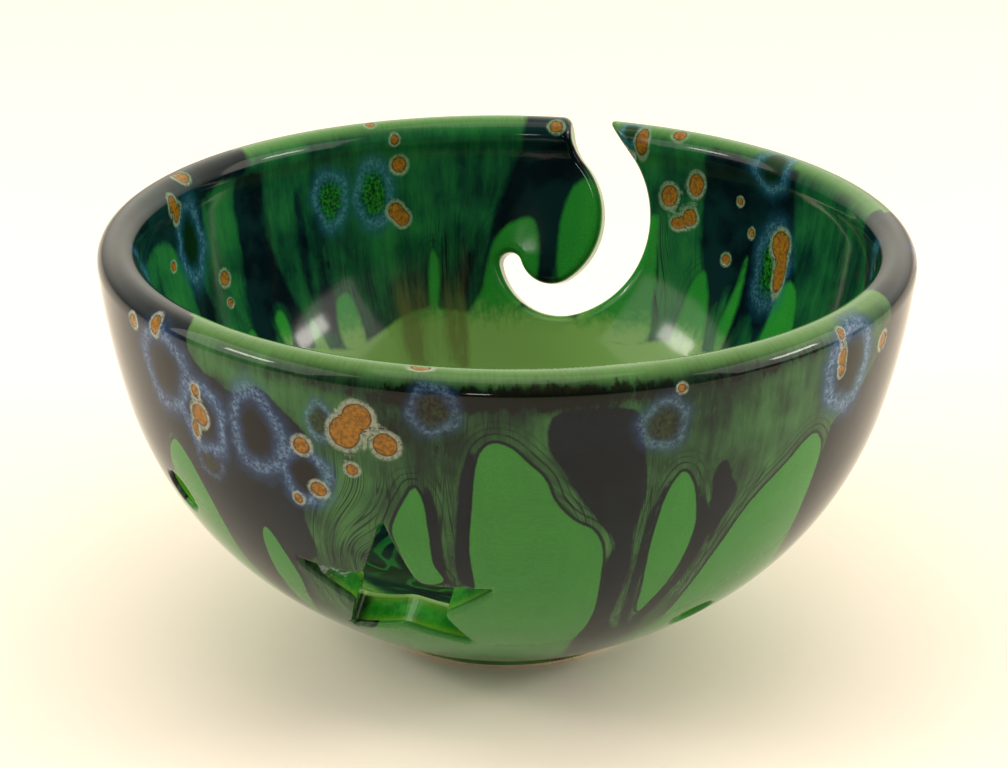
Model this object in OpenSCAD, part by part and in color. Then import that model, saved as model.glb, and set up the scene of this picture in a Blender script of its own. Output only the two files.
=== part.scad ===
// Yarn bowl: a turned clay bowl with a curling yarn slot, one star and two
// round holes cut through its wall, glazed all over except for the foot.
// The bowl stands on z = 0 with its axis on Z, and the yarn slot faces +Y.

/* [Bowl] */
// Diameter over the rim
rim_d = 160; // [152:1:160]
// Height from the table to the top of the rim
height = 83; // [83:0.5:95]
// Wall thickness, glaze included
wall_t = 7; // [6:0.5:7.5]
// Radius of the rolled rim, half of its thickness
rim_roll_r = 4; // [3.8:0.1:4.2]
// Radius of the cove where the rim roll runs into the inside wall
rim_cove_r = 12; // [8:1:16]
// Lean of the wall just under the rim, in degrees from upright
rim_flare = 5; // [3:0.5:6]
// Profile radius of the upper wall
upper_r = 150; // [140:5:170]
// Profile radius of the belly
belly_r = 70; // [68:1:72]
// Profile radius of the lower wall, down to the foot
lower_r = 118; // [100:2:130]
// Radius of the bend where the inside wall turns into the floor
floor_bend_r = 50; // [40:1:55]

/* [Foot] */
// Outer diameter of the foot
foot_d = 58.5; // [56:0.5:60]
// Height of the foot ring, and depth of the recess inside it
foot_h = 2; // [1.5:0.1:2]
// Width of the foot ring
foot_w = 5.5; // [4:0.5:8]
// Height of the bare clay below the edge of the glaze
bare_h = 0.9; // [0.5:0.1:1.2]

/* [Glaze] */
// Thickness of the glaze coat
glaze_t = 0.6; // [0.4:0.1:0.8]

/* [Yarn slot] */
// Downward tilt of the cut, in degrees
slot_tilt = 22; // [18:1:26]
// Distance of the slot's first edge from the middle plane, at the rim
slot_edge_x = -3; // [-4:0.5:-2]
// Height of the same point, measured across the tilted cut
slot_edge_y = 104.5; // [103:0.5:106]
// Heading of the slot's first edge where it leaves the rim, in degrees
slot_heading = -80; // [-84:1:-78]
// Radius of the round end of the slot
slot_end_r = 2.4; // [2:0.1:2.8]

/* [Star] */
// Azimuth of the star from the front, towards +X, in degrees
star_azimuth = -4.5; // [-20:0.5:20]
// Downward tilt of the wall where the star is cut, in degrees
star_tilt = 34; // [28:1:38]
// Distance from the centre to the notches between the points
star_notch_r = 8.8; // [7:0.2:10]
// Lean of the star on the wall, in degrees
star_lean = -2; // [-10:1:10]

/* [Round holes] */
// Diameter of each finished hole
hole_d = 8.5; // [6:0.5:10]
// Azimuth of the left hole from the front, in degrees
left_hole_azimuth = -45; // [-60:1:-40]
// Downward tilt of the wall at the left hole, in degrees
left_hole_tilt = 24; // [20:1:40]
// Azimuth of the right hole from the front, in degrees
right_hole_azimuth = 52; // [40:1:60]
// Downward tilt of the wall at the right hole, in degrees
right_hole_tilt = 46; // [20:1:46]

/* [Hidden] */
$fn = 96;

clay_colour = "wheat";
outside_colour = "seagreen";
inside_colour = "darkgreen";
cut_edge_colour = "limegreen";

// Degrees of arc in one flat of a profile
arc_step = 4;
// Degrees of arc in one flat of the slot's edge, for an arc of 1 mm radius.
// Larger arcs have shorter steps, so that each flat is as close to its arc.
slot_arc_step = 28;
// Sweeps of the upper wall and of the belly, in degrees
upper_sweep = 10;
belly_sweep = 35;
// Sweeps of the inside wall's belly and of its bend into the floor
inner_belly_sweep = 25;
floor_bend_sweep = 20;

// Reach of the five points of the star, clockwise from the top one
star_reach = [22.5, 20, 20, 21, 19.5];

// The slot's edge after its straight start, as [radius, degrees] arcs.
// A positive radius turns right and a negative one turns left.
slot_arcs = [
    [-11, 34],                    // cove that swings out from the rim
    [17.5, 97],                   // side of the clay hook
    [7, 107],                     // underside of the hook
    [-slot_end_r, 176],           // round end
    [-14, 94],                    // lower edge of the curl
    [-23, 108]                    // outer edge, up towards the rim
];
slot_start_l = 3;
// Length of both straight ends, enough to leave the rim
slot_run_out = 12;

foot_r = foot_d / 2;
hole_r = hole_d / 2;
// The cuts reach from inside the bowl to outside it
slot_reach_in = 30;
slot_reach_out = 110;
wall_cut_l = 14;

// Unit vector that points out of the wall and down by an angle
function away(tilt) = [cos(tilt), -sin(tilt)];
function flats(sweep) = max(1, ceil(abs(sweep) / arc_step));
// Points of an arc about a centre, between two tilts
function tilt_arc(centre, r, from, to) =
    [for (i = [0:flats(to - from)])
        centre + r * away(from + (to - from) * i / flats(to - from))];

// Profile centres: each arc meets the next one without a corner
belly_tilt = rim_flare + upper_sweep;
lower_tilt = belly_tilt + belly_sweep;
rim_c = [rim_d / 2 - rim_roll_r, height - rim_roll_r];
upper_c = rim_c + (rim_roll_r - upper_r) * away(rim_flare);
belly_c = upper_c + (upper_r - belly_r) * away(belly_tilt);
lower_c = belly_c + (belly_r - lower_r) * away(lower_tilt);

// Outside of the bowl from the top of the rim down to the foot's side,
// moved into the wall by depth
function outer_wall(depth) =
    let(foot_tilt = acos((foot_r - depth - lower_c[0]) / (lower_r - depth)))
    concat(
        tilt_arc(rim_c, rim_roll_r - depth, -90, rim_flare),
        tilt_arc(upper_c, upper_r - depth, rim_flare, belly_tilt),
        tilt_arc(belly_c, belly_r - depth, belly_tilt, lower_tilt),
        tilt_arc(lower_c, lower_r - depth, lower_tilt, foot_tilt)
    );

// The cove touches the rim roll and the inside wall. Its centre is found
// from the three sides of the triangle between it, rim_c and upper_c.
inner_upper_r = upper_r - wall_t;
cove_side = upper_r - rim_roll_r;
cove_far = inner_upper_r - rim_cove_r;
cove_near = rim_roll_r + rim_cove_r;
cove_turn = acos((cove_side ^ 2 + cove_far ^ 2 - cove_near ^ 2)
                 / (2 * cove_side * cove_far));
cove_tilt = rim_flare + cove_turn;
cove_c = upper_c + cove_far * away(cove_tilt);
// Rise of the line from the cove's centre to the rim roll's, in degrees
roll_rise = atan2(rim_c[1] - cove_c[1], rim_c[0] - cove_c[0]);

// The inside belly shares belly_c, then bends into a shallow round floor
bend_tilt = belly_tilt + inner_belly_sweep;
floor_tilt = bend_tilt + floor_bend_sweep;
bend_c = belly_c + (belly_r - wall_t - floor_bend_r) * away(bend_tilt);
bend_end = bend_c + floor_bend_r * away(floor_tilt);
floor_r = bend_end[0] / cos(floor_tilt);
floor_c = bend_end - floor_r * away(floor_tilt);

// Inside of the bowl from the top of the rim to the middle of the floor,
// moved into the wall by depth
function inner_wall(depth) = concat(
    tilt_arc(rim_c, rim_roll_r - depth, -90, -180 - roll_rise),
    tilt_arc(cove_c, rim_cove_r + depth, -roll_rise, cove_tilt),
    tilt_arc(upper_c, inner_upper_r + depth, cove_tilt, belly_tilt),
    tilt_arc(belly_c, belly_r - wall_t + depth, belly_tilt, bend_tilt),
    tilt_arc(bend_c, floor_bend_r + depth, bend_tilt, floor_tilt),
    tilt_arc(floor_c, floor_r + depth, floor_tilt, 90)
);

function reversed(list) = [for (i = [len(list) - 1:-1:0]) list[i]];

// Points of a path of arcs that starts at p with heading h
function walk(p, h, arcs, i = 0) =
    i == len(arcs) ? [] :
    let(
        r = arcs[i][0],
        sweep = sign(r) * arcs[i][1],
        centre = p + r * [sin(h), -cos(h)],
        n = ceil(arcs[i][1] * sqrt(abs(r)) / slot_arc_step),
        path = [for (k = [1:n])
            centre - r * [sin(h - sweep * k / n), -cos(h - sweep * k / n)]]
    )
    concat(path, walk(path[n - 1], h - sweep, arcs, i + 1));

function heading_after(h, arcs, i = 0) =
    i == len(arcs) ? h :
    heading_after(h - sign(arcs[i][0]) * arcs[i][1], arcs, i + 1);

// Outline of the slot, wider by grow on every side
function slot_outline(grow) =
    let(
        h = slot_heading,
        edge = [slot_edge_x, slot_edge_y] + grow * [sin(h), -cos(h)],
        first = edge + slot_start_l * [cos(h), sin(h)],
        arcs = [for (a = slot_arcs) [a[0] - grow, a[1]]],
        curve = walk(first, h, arcs),
        last = curve[len(curve) - 1],
        h_end = heading_after(h, arcs)
    )
    concat(
        [edge - slot_run_out * [cos(h), sin(h)], first],
        curve,
        [last + 2 * slot_run_out * [cos(h_end), sin(h_end)]]
    );

// The wall as one solid, moved in from both of its surfaces by depth
module wall(depth) {
    rotate_extrude()
        polygon(concat(
            outer_wall(depth),
            [[foot_r - depth, foot_h], [0, foot_h]],
            reversed(inner_wall(depth))
        ));
}

module slot_cut(grow) {
    rotate([90 - slot_tilt, 0, 0])
        translate([0, 0, -slot_reach_out])
            linear_extrude(slot_reach_out - slot_reach_in)
                polygon(slot_outline(grow));
}

// Puts a cutter on the belly so that its Z axis points out of the wall
module on_belly(azimuth, tilt) {
    rotate([0, 0, azimuth - 90])
        translate([belly_c[0], 0, belly_c[1]])
            rotate([0, 90 + tilt, 0])
                translate([0, 0, belly_r - wall_t / 2])
                    rotate([0, 0, 90])
                        children();
}

// Five-pointed star, grown so that its edges move out by grow
module star_outline(grow) {
    points = [for (i = [0:4])
        let(
            tip = 90 - 72 * i + star_lean,
            notch = tip - 36,
            // Distance of an edge from the centre, for this point
            edge = star_reach[i] * star_notch_r * sin(36)
                / norm([star_reach[i] - star_notch_r * cos(36),
                        star_notch_r * sin(36)]),
            scale_up = (edge + grow) / edge
        )
        each [star_reach[i] * scale_up * [cos(tip), sin(tip)],
              (star_notch_r + 1.2 * grow) * [cos(notch), sin(notch)]]];
    polygon(points);
}

module star_cut(grow) {
    on_belly(star_azimuth, star_tilt)
        translate([0, 0, -wall_cut_l / 2])
            linear_extrude(wall_cut_l)
                star_outline(grow);
}

module hole_cuts(grow) {
    for (place = [[left_hole_azimuth, left_hole_tilt],
                  [right_hole_azimuth, right_hole_tilt]])
        on_belly(place[0], place[1])
            cylinder(h = wall_cut_l, r = hole_r + grow, center = true);
}

// Every cut, made wider than the finished one by the glaze inside it
module clay_cuts() {
    slot_cut(glaze_t);
    star_cut(glaze_t);
    hole_cuts(glaze_t);
}

// Fired clay: floor, wall and rim, without the glaze
module clay_bowl() {
    color(clay_colour)
        difference() {
            wall(glaze_t);
            clay_cuts();
        }
}

// Bare ring that the bowl stands on, with its lower edges broken
module foot_ring() {
    outer = foot_r - glaze_t;
    inner = outer - foot_w;
    edge = 0.5;
    color(clay_colour)
        rotate_extrude()
            polygon([
                [inner + edge, 0],
                [outer - edge, 0],
                [outer, edge],
                [outer, foot_h],
                [inner, foot_h],
                [inner, edge]
            ]);
}

// Coat on the outside, from the top of the rim to the side of the foot
module outside_glaze() {
    color(outside_colour)
        difference() {
            rotate_extrude()
                polygon(concat(
                    outer_wall(0),
                    [[foot_r, bare_h], [foot_r - glaze_t, bare_h]],
                    reversed(outer_wall(glaze_t))
                ));
            clay_cuts();
        }
}

// Coat on the inside, from the top of the rim over the whole floor
module inside_glaze() {
    color(inside_colour)
        difference() {
            rotate_extrude()
                polygon(concat(
                    inner_wall(0),
                    reversed(inner_wall(glaze_t))
                ));
            clay_cuts();
        }
}

// Glaze on the edge of the yarn slot, through the whole wall
module slot_glaze() {
    color(cut_edge_colour)
        intersection() {
            wall(0);
            difference() {
                slot_cut(glaze_t);
                slot_cut(0);
            }
        }
}

// Glaze on the edge of the star
module star_glaze() {
    color(cut_edge_colour)
        intersection() {
            wall(0);
            difference() {
                star_cut(glaze_t);
                star_cut(0);
            }
        }
}

// Glaze inside the two round holes
module hole_glaze() {
    color(cut_edge_colour)
        intersection() {
            wall(0);
            difference() {
                hole_cuts(glaze_t);
                hole_cuts(0);
            }
        }
}

clay_bowl();
foot_ring();
outside_glaze();
inside_glaze();
slot_glaze();
star_glaze();
hole_glaze();
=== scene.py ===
"""Yarn bowl: the glazed look of the turned bowl, built around its CAD frame.

All shapes are worked out in millimetres in the bowl's own frame (axis on Z,
yarn slot towards +Y) and turned into metres when a mesh is made. Azimuth is
counted from -Y towards +X: az is in radians, and the settings are in degrees.
s is the distance along the bowl's profile, from the end of the glaze at the
foot, up the outside, over the rim and down to the middle of the floor. Drop
is the distance down the wall from the top of the rim, outside or inside.
"""

import math

import bpy
import numpy as np
from mathutils import Euler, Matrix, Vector
from mathutils.geometry import delaunay_2d_cdt
from mathutils.kdtree import KDTree


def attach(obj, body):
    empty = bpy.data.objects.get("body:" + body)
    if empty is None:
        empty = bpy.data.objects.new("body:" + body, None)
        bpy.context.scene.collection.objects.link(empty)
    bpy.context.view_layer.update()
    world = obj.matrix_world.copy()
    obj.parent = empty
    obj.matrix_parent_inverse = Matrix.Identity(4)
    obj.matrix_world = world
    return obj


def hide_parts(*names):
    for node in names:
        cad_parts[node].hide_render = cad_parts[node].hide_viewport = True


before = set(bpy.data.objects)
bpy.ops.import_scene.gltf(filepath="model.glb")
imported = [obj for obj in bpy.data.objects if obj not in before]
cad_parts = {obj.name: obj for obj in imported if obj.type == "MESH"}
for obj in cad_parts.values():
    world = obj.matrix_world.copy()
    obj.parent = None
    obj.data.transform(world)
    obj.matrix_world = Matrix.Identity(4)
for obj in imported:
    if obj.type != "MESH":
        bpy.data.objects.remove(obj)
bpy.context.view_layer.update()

MM = 0.001

# ---------------------------------------------------------------- camera

CAMERA_AZIMUTH = 13
CAMERA_REACH = 0.480
CAMERA_HEIGHT = 0.2465
CAMERA_PITCH = math.radians(22.33)
CAMERA_ROLL = 0.00835
CAMERA_ASIDE = -0.0005
CAMERA_LENS = 92.07


def make_camera():
    camera = bpy.data.objects.new("camera", bpy.data.cameras.new("camera"))
    bpy.context.scene.collection.objects.link(camera)
    turn = math.radians(CAMERA_AZIMUTH)
    right = Vector((math.cos(turn), math.sin(turn), 0))
    back = Vector((math.sin(turn), -math.cos(turn), 0))
    camera.location = back * CAMERA_REACH + right * CAMERA_ASIDE
    camera.location.z = CAMERA_HEIGHT
    camera.rotation_mode = "QUATERNION"
    level = Euler((math.pi / 2 - CAMERA_PITCH, 0, turn)).to_quaternion()
    camera.rotation_quaternion = level @ Euler((0, 0, CAMERA_ROLL)).to_quaternion()
    camera.data.lens = CAMERA_LENS
    camera.data.sensor_width = 36
    camera.data.dof.use_dof = False
    bpy.context.scene.camera = camera


make_camera()

# ---------------------------------------------------------------- profile

RIM_R = 80
HEIGHT = 83
WALL = 7
ROLL_R = 4
COVE_R = 12
FLARE = 5
UPPER_R = 150
BELLY_R = 70
LOWER_R = 118
BEND_R = 50
UPPER_SWEEP = 10
BELLY_SWEEP = 35
INNER_BELLY_SWEEP = 25
BEND_SWEEP = 20
FOOT_R = 29.25
BARE_H = 0.9
COAT = 0.6
BEAD_R = 0.55
FOOT_FILLET_R = 0.8
PROFILE_STEP = 0.05


def away(tilt):
    """Unit vector in a profile that points out of the wall and down by an angle in degrees."""
    return np.array([math.cos(math.radians(tilt)), -math.sin(math.radians(tilt))])


def arc(centre, radius, start, end, n=None):
    """Profile points on an arc between two tilts."""
    n = n or max(2, int(abs(math.radians(end - start)) * radius / PROFILE_STEP))
    return [np.array(centre) + radius * away(start + (end - start) * i / n) for i in range(n + 1)]


def length_along(points):
    """Distance from the first point of a line to each of its points."""
    return np.r_[0, np.cumsum(np.hypot(*np.diff(points, axis=0).T))]


belly_tilt = FLARE + UPPER_SWEEP
lower_tilt = belly_tilt + BELLY_SWEEP
rim_c = np.array([RIM_R - ROLL_R, HEIGHT - ROLL_R])
upper_c = rim_c + (ROLL_R - UPPER_R) * away(FLARE)
belly_c = upper_c + (UPPER_R - BELLY_R) * away(belly_tilt)
lower_c = belly_c + (BELLY_R - LOWER_R) * away(lower_tilt)

inner_upper_r = UPPER_R - WALL
cove_side = UPPER_R - ROLL_R
cove_far = inner_upper_r - COVE_R
cove_near = ROLL_R + COVE_R
cove_tilt = FLARE + math.degrees(math.acos(
    (cove_side ** 2 + cove_far ** 2 - cove_near ** 2) / (2 * cove_side * cove_far)))
cove_c = upper_c + cove_far * away(cove_tilt)
roll_rise = math.degrees(math.atan2(rim_c[1] - cove_c[1], rim_c[0] - cove_c[0]))
bend_tilt = belly_tilt + INNER_BELLY_SWEEP
floor_tilt = bend_tilt + BEND_SWEEP
bend_c = belly_c + (BELLY_R - WALL - BEND_R) * away(bend_tilt)
bend_end = bend_c + BEND_R * away(floor_tilt)
floor_radius = bend_end[0] / math.cos(math.radians(floor_tilt))
floor_c = bend_end - floor_radius * away(floor_tilt)

# The glaze ends on the foot in a bead, and pools in a fillet above it
fillet_x = FOOT_R + FOOT_FILLET_R
fillet_z = lower_c[1] - math.sqrt((LOWER_R + FOOT_FILLET_R) ** 2 - (fillet_x - lower_c[0]) ** 2)
fillet_tilt = math.degrees(math.atan2(lower_c[1] - fillet_z, fillet_x - lower_c[0]))

outer_profile = (
    arc((FOOT_R - BEAD_R, BARE_H + BEAD_R), BEAD_R, 90, 0)
    + arc((fillet_x, fillet_z), FOOT_FILLET_R, 180, 180 + fillet_tilt)
    + arc(lower_c, LOWER_R, fillet_tilt, lower_tilt)
    + arc(belly_c, BELLY_R, lower_tilt, belly_tilt)
    + arc(upper_c, UPPER_R, belly_tilt, FLARE)
    + arc(rim_c, ROLL_R, FLARE, -90)
)
inner_profile = (
    arc(rim_c, ROLL_R, -90, -180 - roll_rise)
    + arc(cove_c, COVE_R, -roll_rise, cove_tilt)
    + arc(upper_c, inner_upper_r, cove_tilt, belly_tilt)
    + arc(belly_c, BELLY_R - WALL, belly_tilt, bend_tilt)
    + arc(bend_c, BEND_R, bend_tilt, floor_tilt)
    + arc(floor_c, floor_radius, floor_tilt, 90)
)
profile = np.array(outer_profile + inner_profile)
profile = profile[np.r_[True, np.hypot(*np.diff(profile, axis=0).T) > 1e-6]]
profile[-1, 0] = 0
along = length_along(profile)
S_END = along[-1]
top_index = int(np.argmax(profile[:, 1]))
S_TOP = along[top_index]
outer_z = profile[:top_index + 1]
inner_z = profile[top_index:]

step = np.gradient(profile, along, axis=0)
step /= np.hypot(step[:, 0], step[:, 1])[:, None]


def ring_of(s):
    """Radius and height of the skin at a distance along the profile."""
    return np.interp(s, along, profile[:, 0]), np.interp(s, along, profile[:, 1])


def place_at(az, r, z):
    """Points from their azimuth, radius and height."""
    az, r, z = np.broadcast_arrays(az, r, z)
    return np.stack([r * np.sin(az), -r * np.cos(az), z], -1)


def bowl_axes(az):
    """Unit vectors around the bowl and out from its axis."""
    return np.stack([np.cos(az), np.sin(az), np.zeros_like(az)], -1), place_at(az, 1.0, 0.0)


def skin_point(az, s):
    """Points on the skin."""
    return place_at(az, *ring_of(s))


def skin_axes(az, s):
    """Unit vectors on the skin: around the bowl, along the profile, and out of the skin."""
    t = np.stack([np.interp(s, along, step[:, 0]), np.interp(s, along, step[:, 1])], -1)
    t /= np.linalg.norm(t, axis=-1, keepdims=True)
    around, radial = bowl_axes(az)
    up = np.array([0.0, 0, 1])
    return around, radial * t[..., :1] + up * t[..., 1:], radial * t[..., 1:] - up * t[..., :1]


# A flat chart of the whole skin that keeps angles: a disc with the middle of
# the floor at its centre and the foot at its edge
CHART_END = 0.3
safe_r = np.maximum(profile[:, 0], CHART_END)
chart_r = np.exp(-np.r_[0, np.cumsum(np.diff(along) * 2 / (safe_r[1:] + safe_r[:-1]))])


def chart(az, s):
    rho = np.where(s >= S_END, 0, np.interp(s, along, chart_r))
    return np.stack([rho * np.cos(az), rho * np.sin(az)], -1)


# ---------------------------------------------------------------- cuts

def clay_depth(r, z):
    """Below zero inside the wall, above zero outside it."""
    roll = np.hypot(r - rim_c[0], z - rim_c[1]) - ROLL_R
    outside = r - np.interp(z, outer_z[:, 1], outer_z[:, 0])
    inside = np.interp(z, inner_z[::-1, 1], inner_z[::-1, 0]) - r
    return np.where(z > rim_c[1], roll, np.maximum(outside, inside))


def s_of(point, outer):
    """Distance along the profile of a point that lies on the skin."""
    r = np.hypot(point[..., 0], point[..., 1])
    z = point[..., 2]
    turn = np.arctan2(z - rim_c[1], r - rim_c[0])
    on_roll = S_TOP + ROLL_R * (turn - math.pi / 2)
    outer_s = np.interp(z, outer_z[:, 1], along[:top_index + 1])
    inner_s = np.interp(z, inner_z[::-1, 1], along[top_index:][::-1])
    return np.where(z > rim_c[1], on_roll, np.where(outer, outer_s, inner_s))


def depth_at(start, direction, t):
    p = start + direction * t[..., None]
    return clay_depth(np.hypot(p[..., 0], p[..., 1]), p[..., 2])


def turning_point(test, true_at, false_at, rounds=40):
    """Where a test that holds at one end stops holding on the way to the other."""
    a, b = true_at, false_at
    for _ in range(rounds):
        middle = (a + b) / 2
        holds = test(middle)
        a, b = np.where(holds, middle, a), np.where(holds, b, middle)
    return (a + b) / 2


def wall_crossings(start, direction, t_from, t_to, t_step=0.1):
    """Where lines cross the wall: the first and last t inside it, and the least depth."""
    t = np.arange(t_from, t_to, t_step)
    d = depth_at(start[:, None], direction, np.broadcast_to(t, (len(start), len(t))))
    inside = d < 0
    first = np.where(inside.any(1), inside.argmax(1), d.argmin(1))
    last = np.where(inside.any(1), len(t) - 1 - inside[:, ::-1].argmax(1), d.argmin(1))

    def edge(at, side):
        return turning_point(lambda m: depth_at(start, direction, m) < 0, t[at], t[at] + side * t_step)

    return edge(first, -1), edge(last, 1), d.min(1)


def resample(points, spacing):
    """Even points on a closed outline."""
    ring = np.vstack([points, points[:1]])
    where = length_along(ring)
    n = int(round(where[-1] / spacing))
    u = np.arange(n) * where[-1] / n
    return np.stack([np.interp(u, where, ring[:, 0]), np.interp(u, where, ring[:, 1])], 1)


def rounded(points, radii, step_deg=12):
    """A closed outline with each corner turned into an arc."""
    out = []
    n = len(points)
    for i in range(n):
        p = np.array(points[i], float)
        a = np.array(points[i - 1], float) - p
        b = np.array(points[(i + 1) % n], float) - p
        a /= np.linalg.norm(a)
        b /= np.linalg.norm(b)
        half = math.acos(np.clip(a @ b, -1, 1)) / 2
        cut = radii[i] / math.tan(half)
        c = p + (a + b) / np.linalg.norm(a + b) * radii[i] / math.sin(half)
        p1 = p + a * cut - c
        p2 = p + b * cut - c
        sweep = math.pi - 2 * half
        side = np.sign(p1[0] * p2[1] - p1[1] * p2[0])
        k = max(2, int(math.degrees(sweep) / step_deg))
        for q in side * sweep * np.arange(k + 1) / k:
            out.append(c + [p1[0] * math.cos(q) - p1[1] * math.sin(q),
                            p1[0] * math.sin(q) + p1[1] * math.cos(q)])
    return np.array(out)


EDGE_SPACING = 0.6
SLOT_TILT = 22
SLOT_EDGE = (-3, 104.5)
SLOT_HEADING = -80
SLOT_START = 3
# Radius and sweep of each bend of the slot's edge. Radii above zero turn right.
SLOT_ARCS = [(-11, 34), (17.5, 97), (7, 107), (-2.4, 176), (-14, 94), (-23, 108)]
SLOT_RUN_OUT = 12
SLOT_ROUND = 1.7
SLOT_TIP_ROUND = 0.9
SLOT_TIP_LENGTH = 9
SLOT_FINE = 0.02
# Between these distances from the slot's plane the wall is looked for, and
# between the closer ones at the two ends of the slot
SLOT_REACH = (30, 60)
SLOT_END_REACH = (34, 50)
# The slot's edge crosses the top of the rim within this distance of each end
MARK_REACH = 3


def slot_path():
    """The slot's edge as fine points: the distance along it, each point and the heading there."""
    h = math.radians(SLOT_HEADING)
    points = []
    heads = []

    def straight(start, length):
        forward = np.array([math.cos(h), math.sin(h)])
        for k in range(int(length / SLOT_FINE)):
            points.append(start + forward * SLOT_FINE * k)
            heads.append(h)
        return start + forward * length

    forward = np.array([math.cos(h), math.sin(h)])
    p = straight(np.array(SLOT_EDGE) - forward * SLOT_RUN_OUT, SLOT_RUN_OUT + SLOT_START)
    for radius, degrees in SLOT_ARCS:
        sweep = math.copysign(math.radians(degrees), radius)
        centre = p + radius * np.array([math.sin(h), -math.cos(h)])
        n = int(abs(radius * sweep) / SLOT_FINE)
        for q in h - sweep * np.arange(n) / n:
            points.append(centre - radius * np.array([math.sin(q), -math.cos(q)]))
            heads.append(q)
        h -= sweep
        p = centre - radius * np.array([math.sin(h), -math.cos(h)])
    straight(p, 2 * SLOT_RUN_OUT)
    points = np.array(points)
    return length_along(points), points, np.array(heads)


slot_out = np.array([0, *away(SLOT_TILT)])
slot_up = np.array([0, *away(SLOT_TILT - 90)])
slot_u, slot_xy, slot_head = slot_path()


def slot_lines(u):
    """Points in the slot's plane, from which lines along slot_out cross the wall."""
    x = np.interp(u, slot_u, slot_xy[:, 0])
    y = np.interp(u, slot_u, slot_xy[:, 1])
    return x[:, None] * np.array([1.0, 0, 0]) + y[:, None] * slot_up


def slot_end(inside, outside):
    """Where the slot's edge leaves the wall, and how far out it does."""
    t = np.arange(*SLOT_END_REACH, SLOT_FINE)

    def depths(u):
        return depth_at(slot_lines(np.array([u]))[:, None], slot_out, t[None])

    u = turning_point(lambda m: depths(m).min() < 0, inside, outside)
    return float(u), t[int(depths(u).argmin())]


def slot_cut():
    """The slot's two edges: matching points inside and outside the wall, from left to right."""
    coarse = np.arange(0, slot_u[-1], 0.1)
    hit = np.where(wall_crossings(slot_lines(coarse), slot_out, *SLOT_REACH)[2] < 0)[0]
    u0, t0 = slot_end(coarse[hit[0]], coarse[hit[0] - 1])
    u1, t1 = slot_end(coarse[hit[-1]], coarse[hit[-1] + 1])
    # Steps grow away from both ends, where the two edges part quickly
    steps = [0.025 * k * k for k in range(1, math.ceil(EDGE_SPACING / 0.05))]
    n = int((u1 - u0 - 2 * steps[-1]) / EDGE_SPACING)
    middle = np.linspace(u0 + steps[-1], u1 - steps[-1], n + 1)[1:-1]
    u = np.r_[[u0 + a for a in steps], middle, [u1 - a for a in steps[::-1]]]

    def before_top(m):
        lines = slot_lines(np.array([m]))
        t_in = wall_crossings(lines, slot_out, *SLOT_REACH)[0]
        return s_of(lines + slot_out * t_in[:, None], False)[0] < S_TOP

    # One point of each inner edge is put on the top of the rim
    marks = []
    for end, side in ((u0, 1), (u1, -1)):
        marks.append(turning_point(before_top, end + side * 1e-4, end + side * MARK_REACH))
        u[np.abs(u - marks[-1]).argmin()] = marks[-1]
    t_in, t_out = wall_crossings(slot_lines(u), slot_out, *SLOT_REACH)[:2]
    u = np.r_[u0, u, u1]
    inner = slot_lines(u) + slot_out * np.r_[t0, t_in, t1][:, None]
    outer = slot_lines(u) + slot_out * np.r_[t0, t_out, t1][:, None]
    heading = np.interp(u, slot_u, slot_head)
    lining = -np.sin(heading)[:, None] * np.array([1.0, 0, 0]) + np.cos(heading)[:, None] * slot_up
    return inner, outer, lining, [int(np.abs(u - m).argmin()) for m in marks], u - u0


STAR_AZIMUTH = -4.5
STAR_TILT = 34
STAR_LEAN = -2
STAR_NOTCH_R = 8.8
STAR_REACH = [22.5, 20, 20, 21, 19.5]
STAR_TIP_ROUND = 0.5
STAR_NOTCH_ROUND = 3
STAR_ROUND = 1.1
HOLE_R = 4.25
HOLE_ROUND = 0.9
# Azimuth of each round hole, and the tilt of the wall there
HOLES = [(-45, 24), (52, 46)]


def wall_cut(outline, azimuth, tilt):
    """Matching points inside and outside the wall of a cut made square to the belly.

    The outline's x runs round the bowl and its y up the wall.
    """
    x, radial = bowl_axes(math.radians(azimuth))
    c, s = away(tilt)
    z = radial * c + np.array([0, 0, 1.0]) * s
    y = np.cross(z, x)
    centre = radial * belly_c[0] + np.array([0, 0, belly_c[1]]) + z * (BELLY_R - WALL / 2)
    outline = resample(outline, EDGE_SPACING)
    ahead = np.roll(outline, -1, axis=0) - np.roll(outline, 1, axis=0)
    ahead /= np.linalg.norm(ahead, axis=1)[:, None]
    start = centre + outline[:, :1] * x + outline[:, 1:] * y
    t_in, t_out = wall_crossings(start, z, -WALL - 2, WALL + 2)[:2]
    lining = -ahead[:, 1:] * x + ahead[:, :1] * y
    return start + z * t_in[:, None], start + z * t_out[:, None], lining


def star_outline():
    points = []
    for i, reach in enumerate(STAR_REACH):
        tip = 90 - 72 * i + STAR_LEAN
        points += [reach * away(-tip), STAR_NOTCH_R * away(36 - tip)]
    return rounded(points[::-1], [STAR_NOTCH_ROUND, STAR_TIP_ROUND] * 5)


def round_outline(radius):
    turn = np.radians(np.arange(0, 360, 2))
    return np.stack([radius * np.cos(turn), radius * np.sin(turn)], 1)


slot_in, slot_edge_out, slot_lining, slot_marks, slot_run = slot_cut()


# ---------------------------------------------------------------- skin mesh

class Cut:
    """One closed edge on the skin: its points, the directions out of its lining, and its rounding."""

    def __init__(self, name, points, s, lining, rounding):
        self.name = name
        self.points = points
        self.s = s
        self.az = np.arctan2(points[:, 0], -points[:, 1])
        self.lining = lining
        self.rounding = rounding
        self.first = 0


def there_and_back(outer, inner):
    """One closed loop from two edges that meet at both ends."""
    return np.concatenate([outer, inner[-2:0:-1]])


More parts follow.
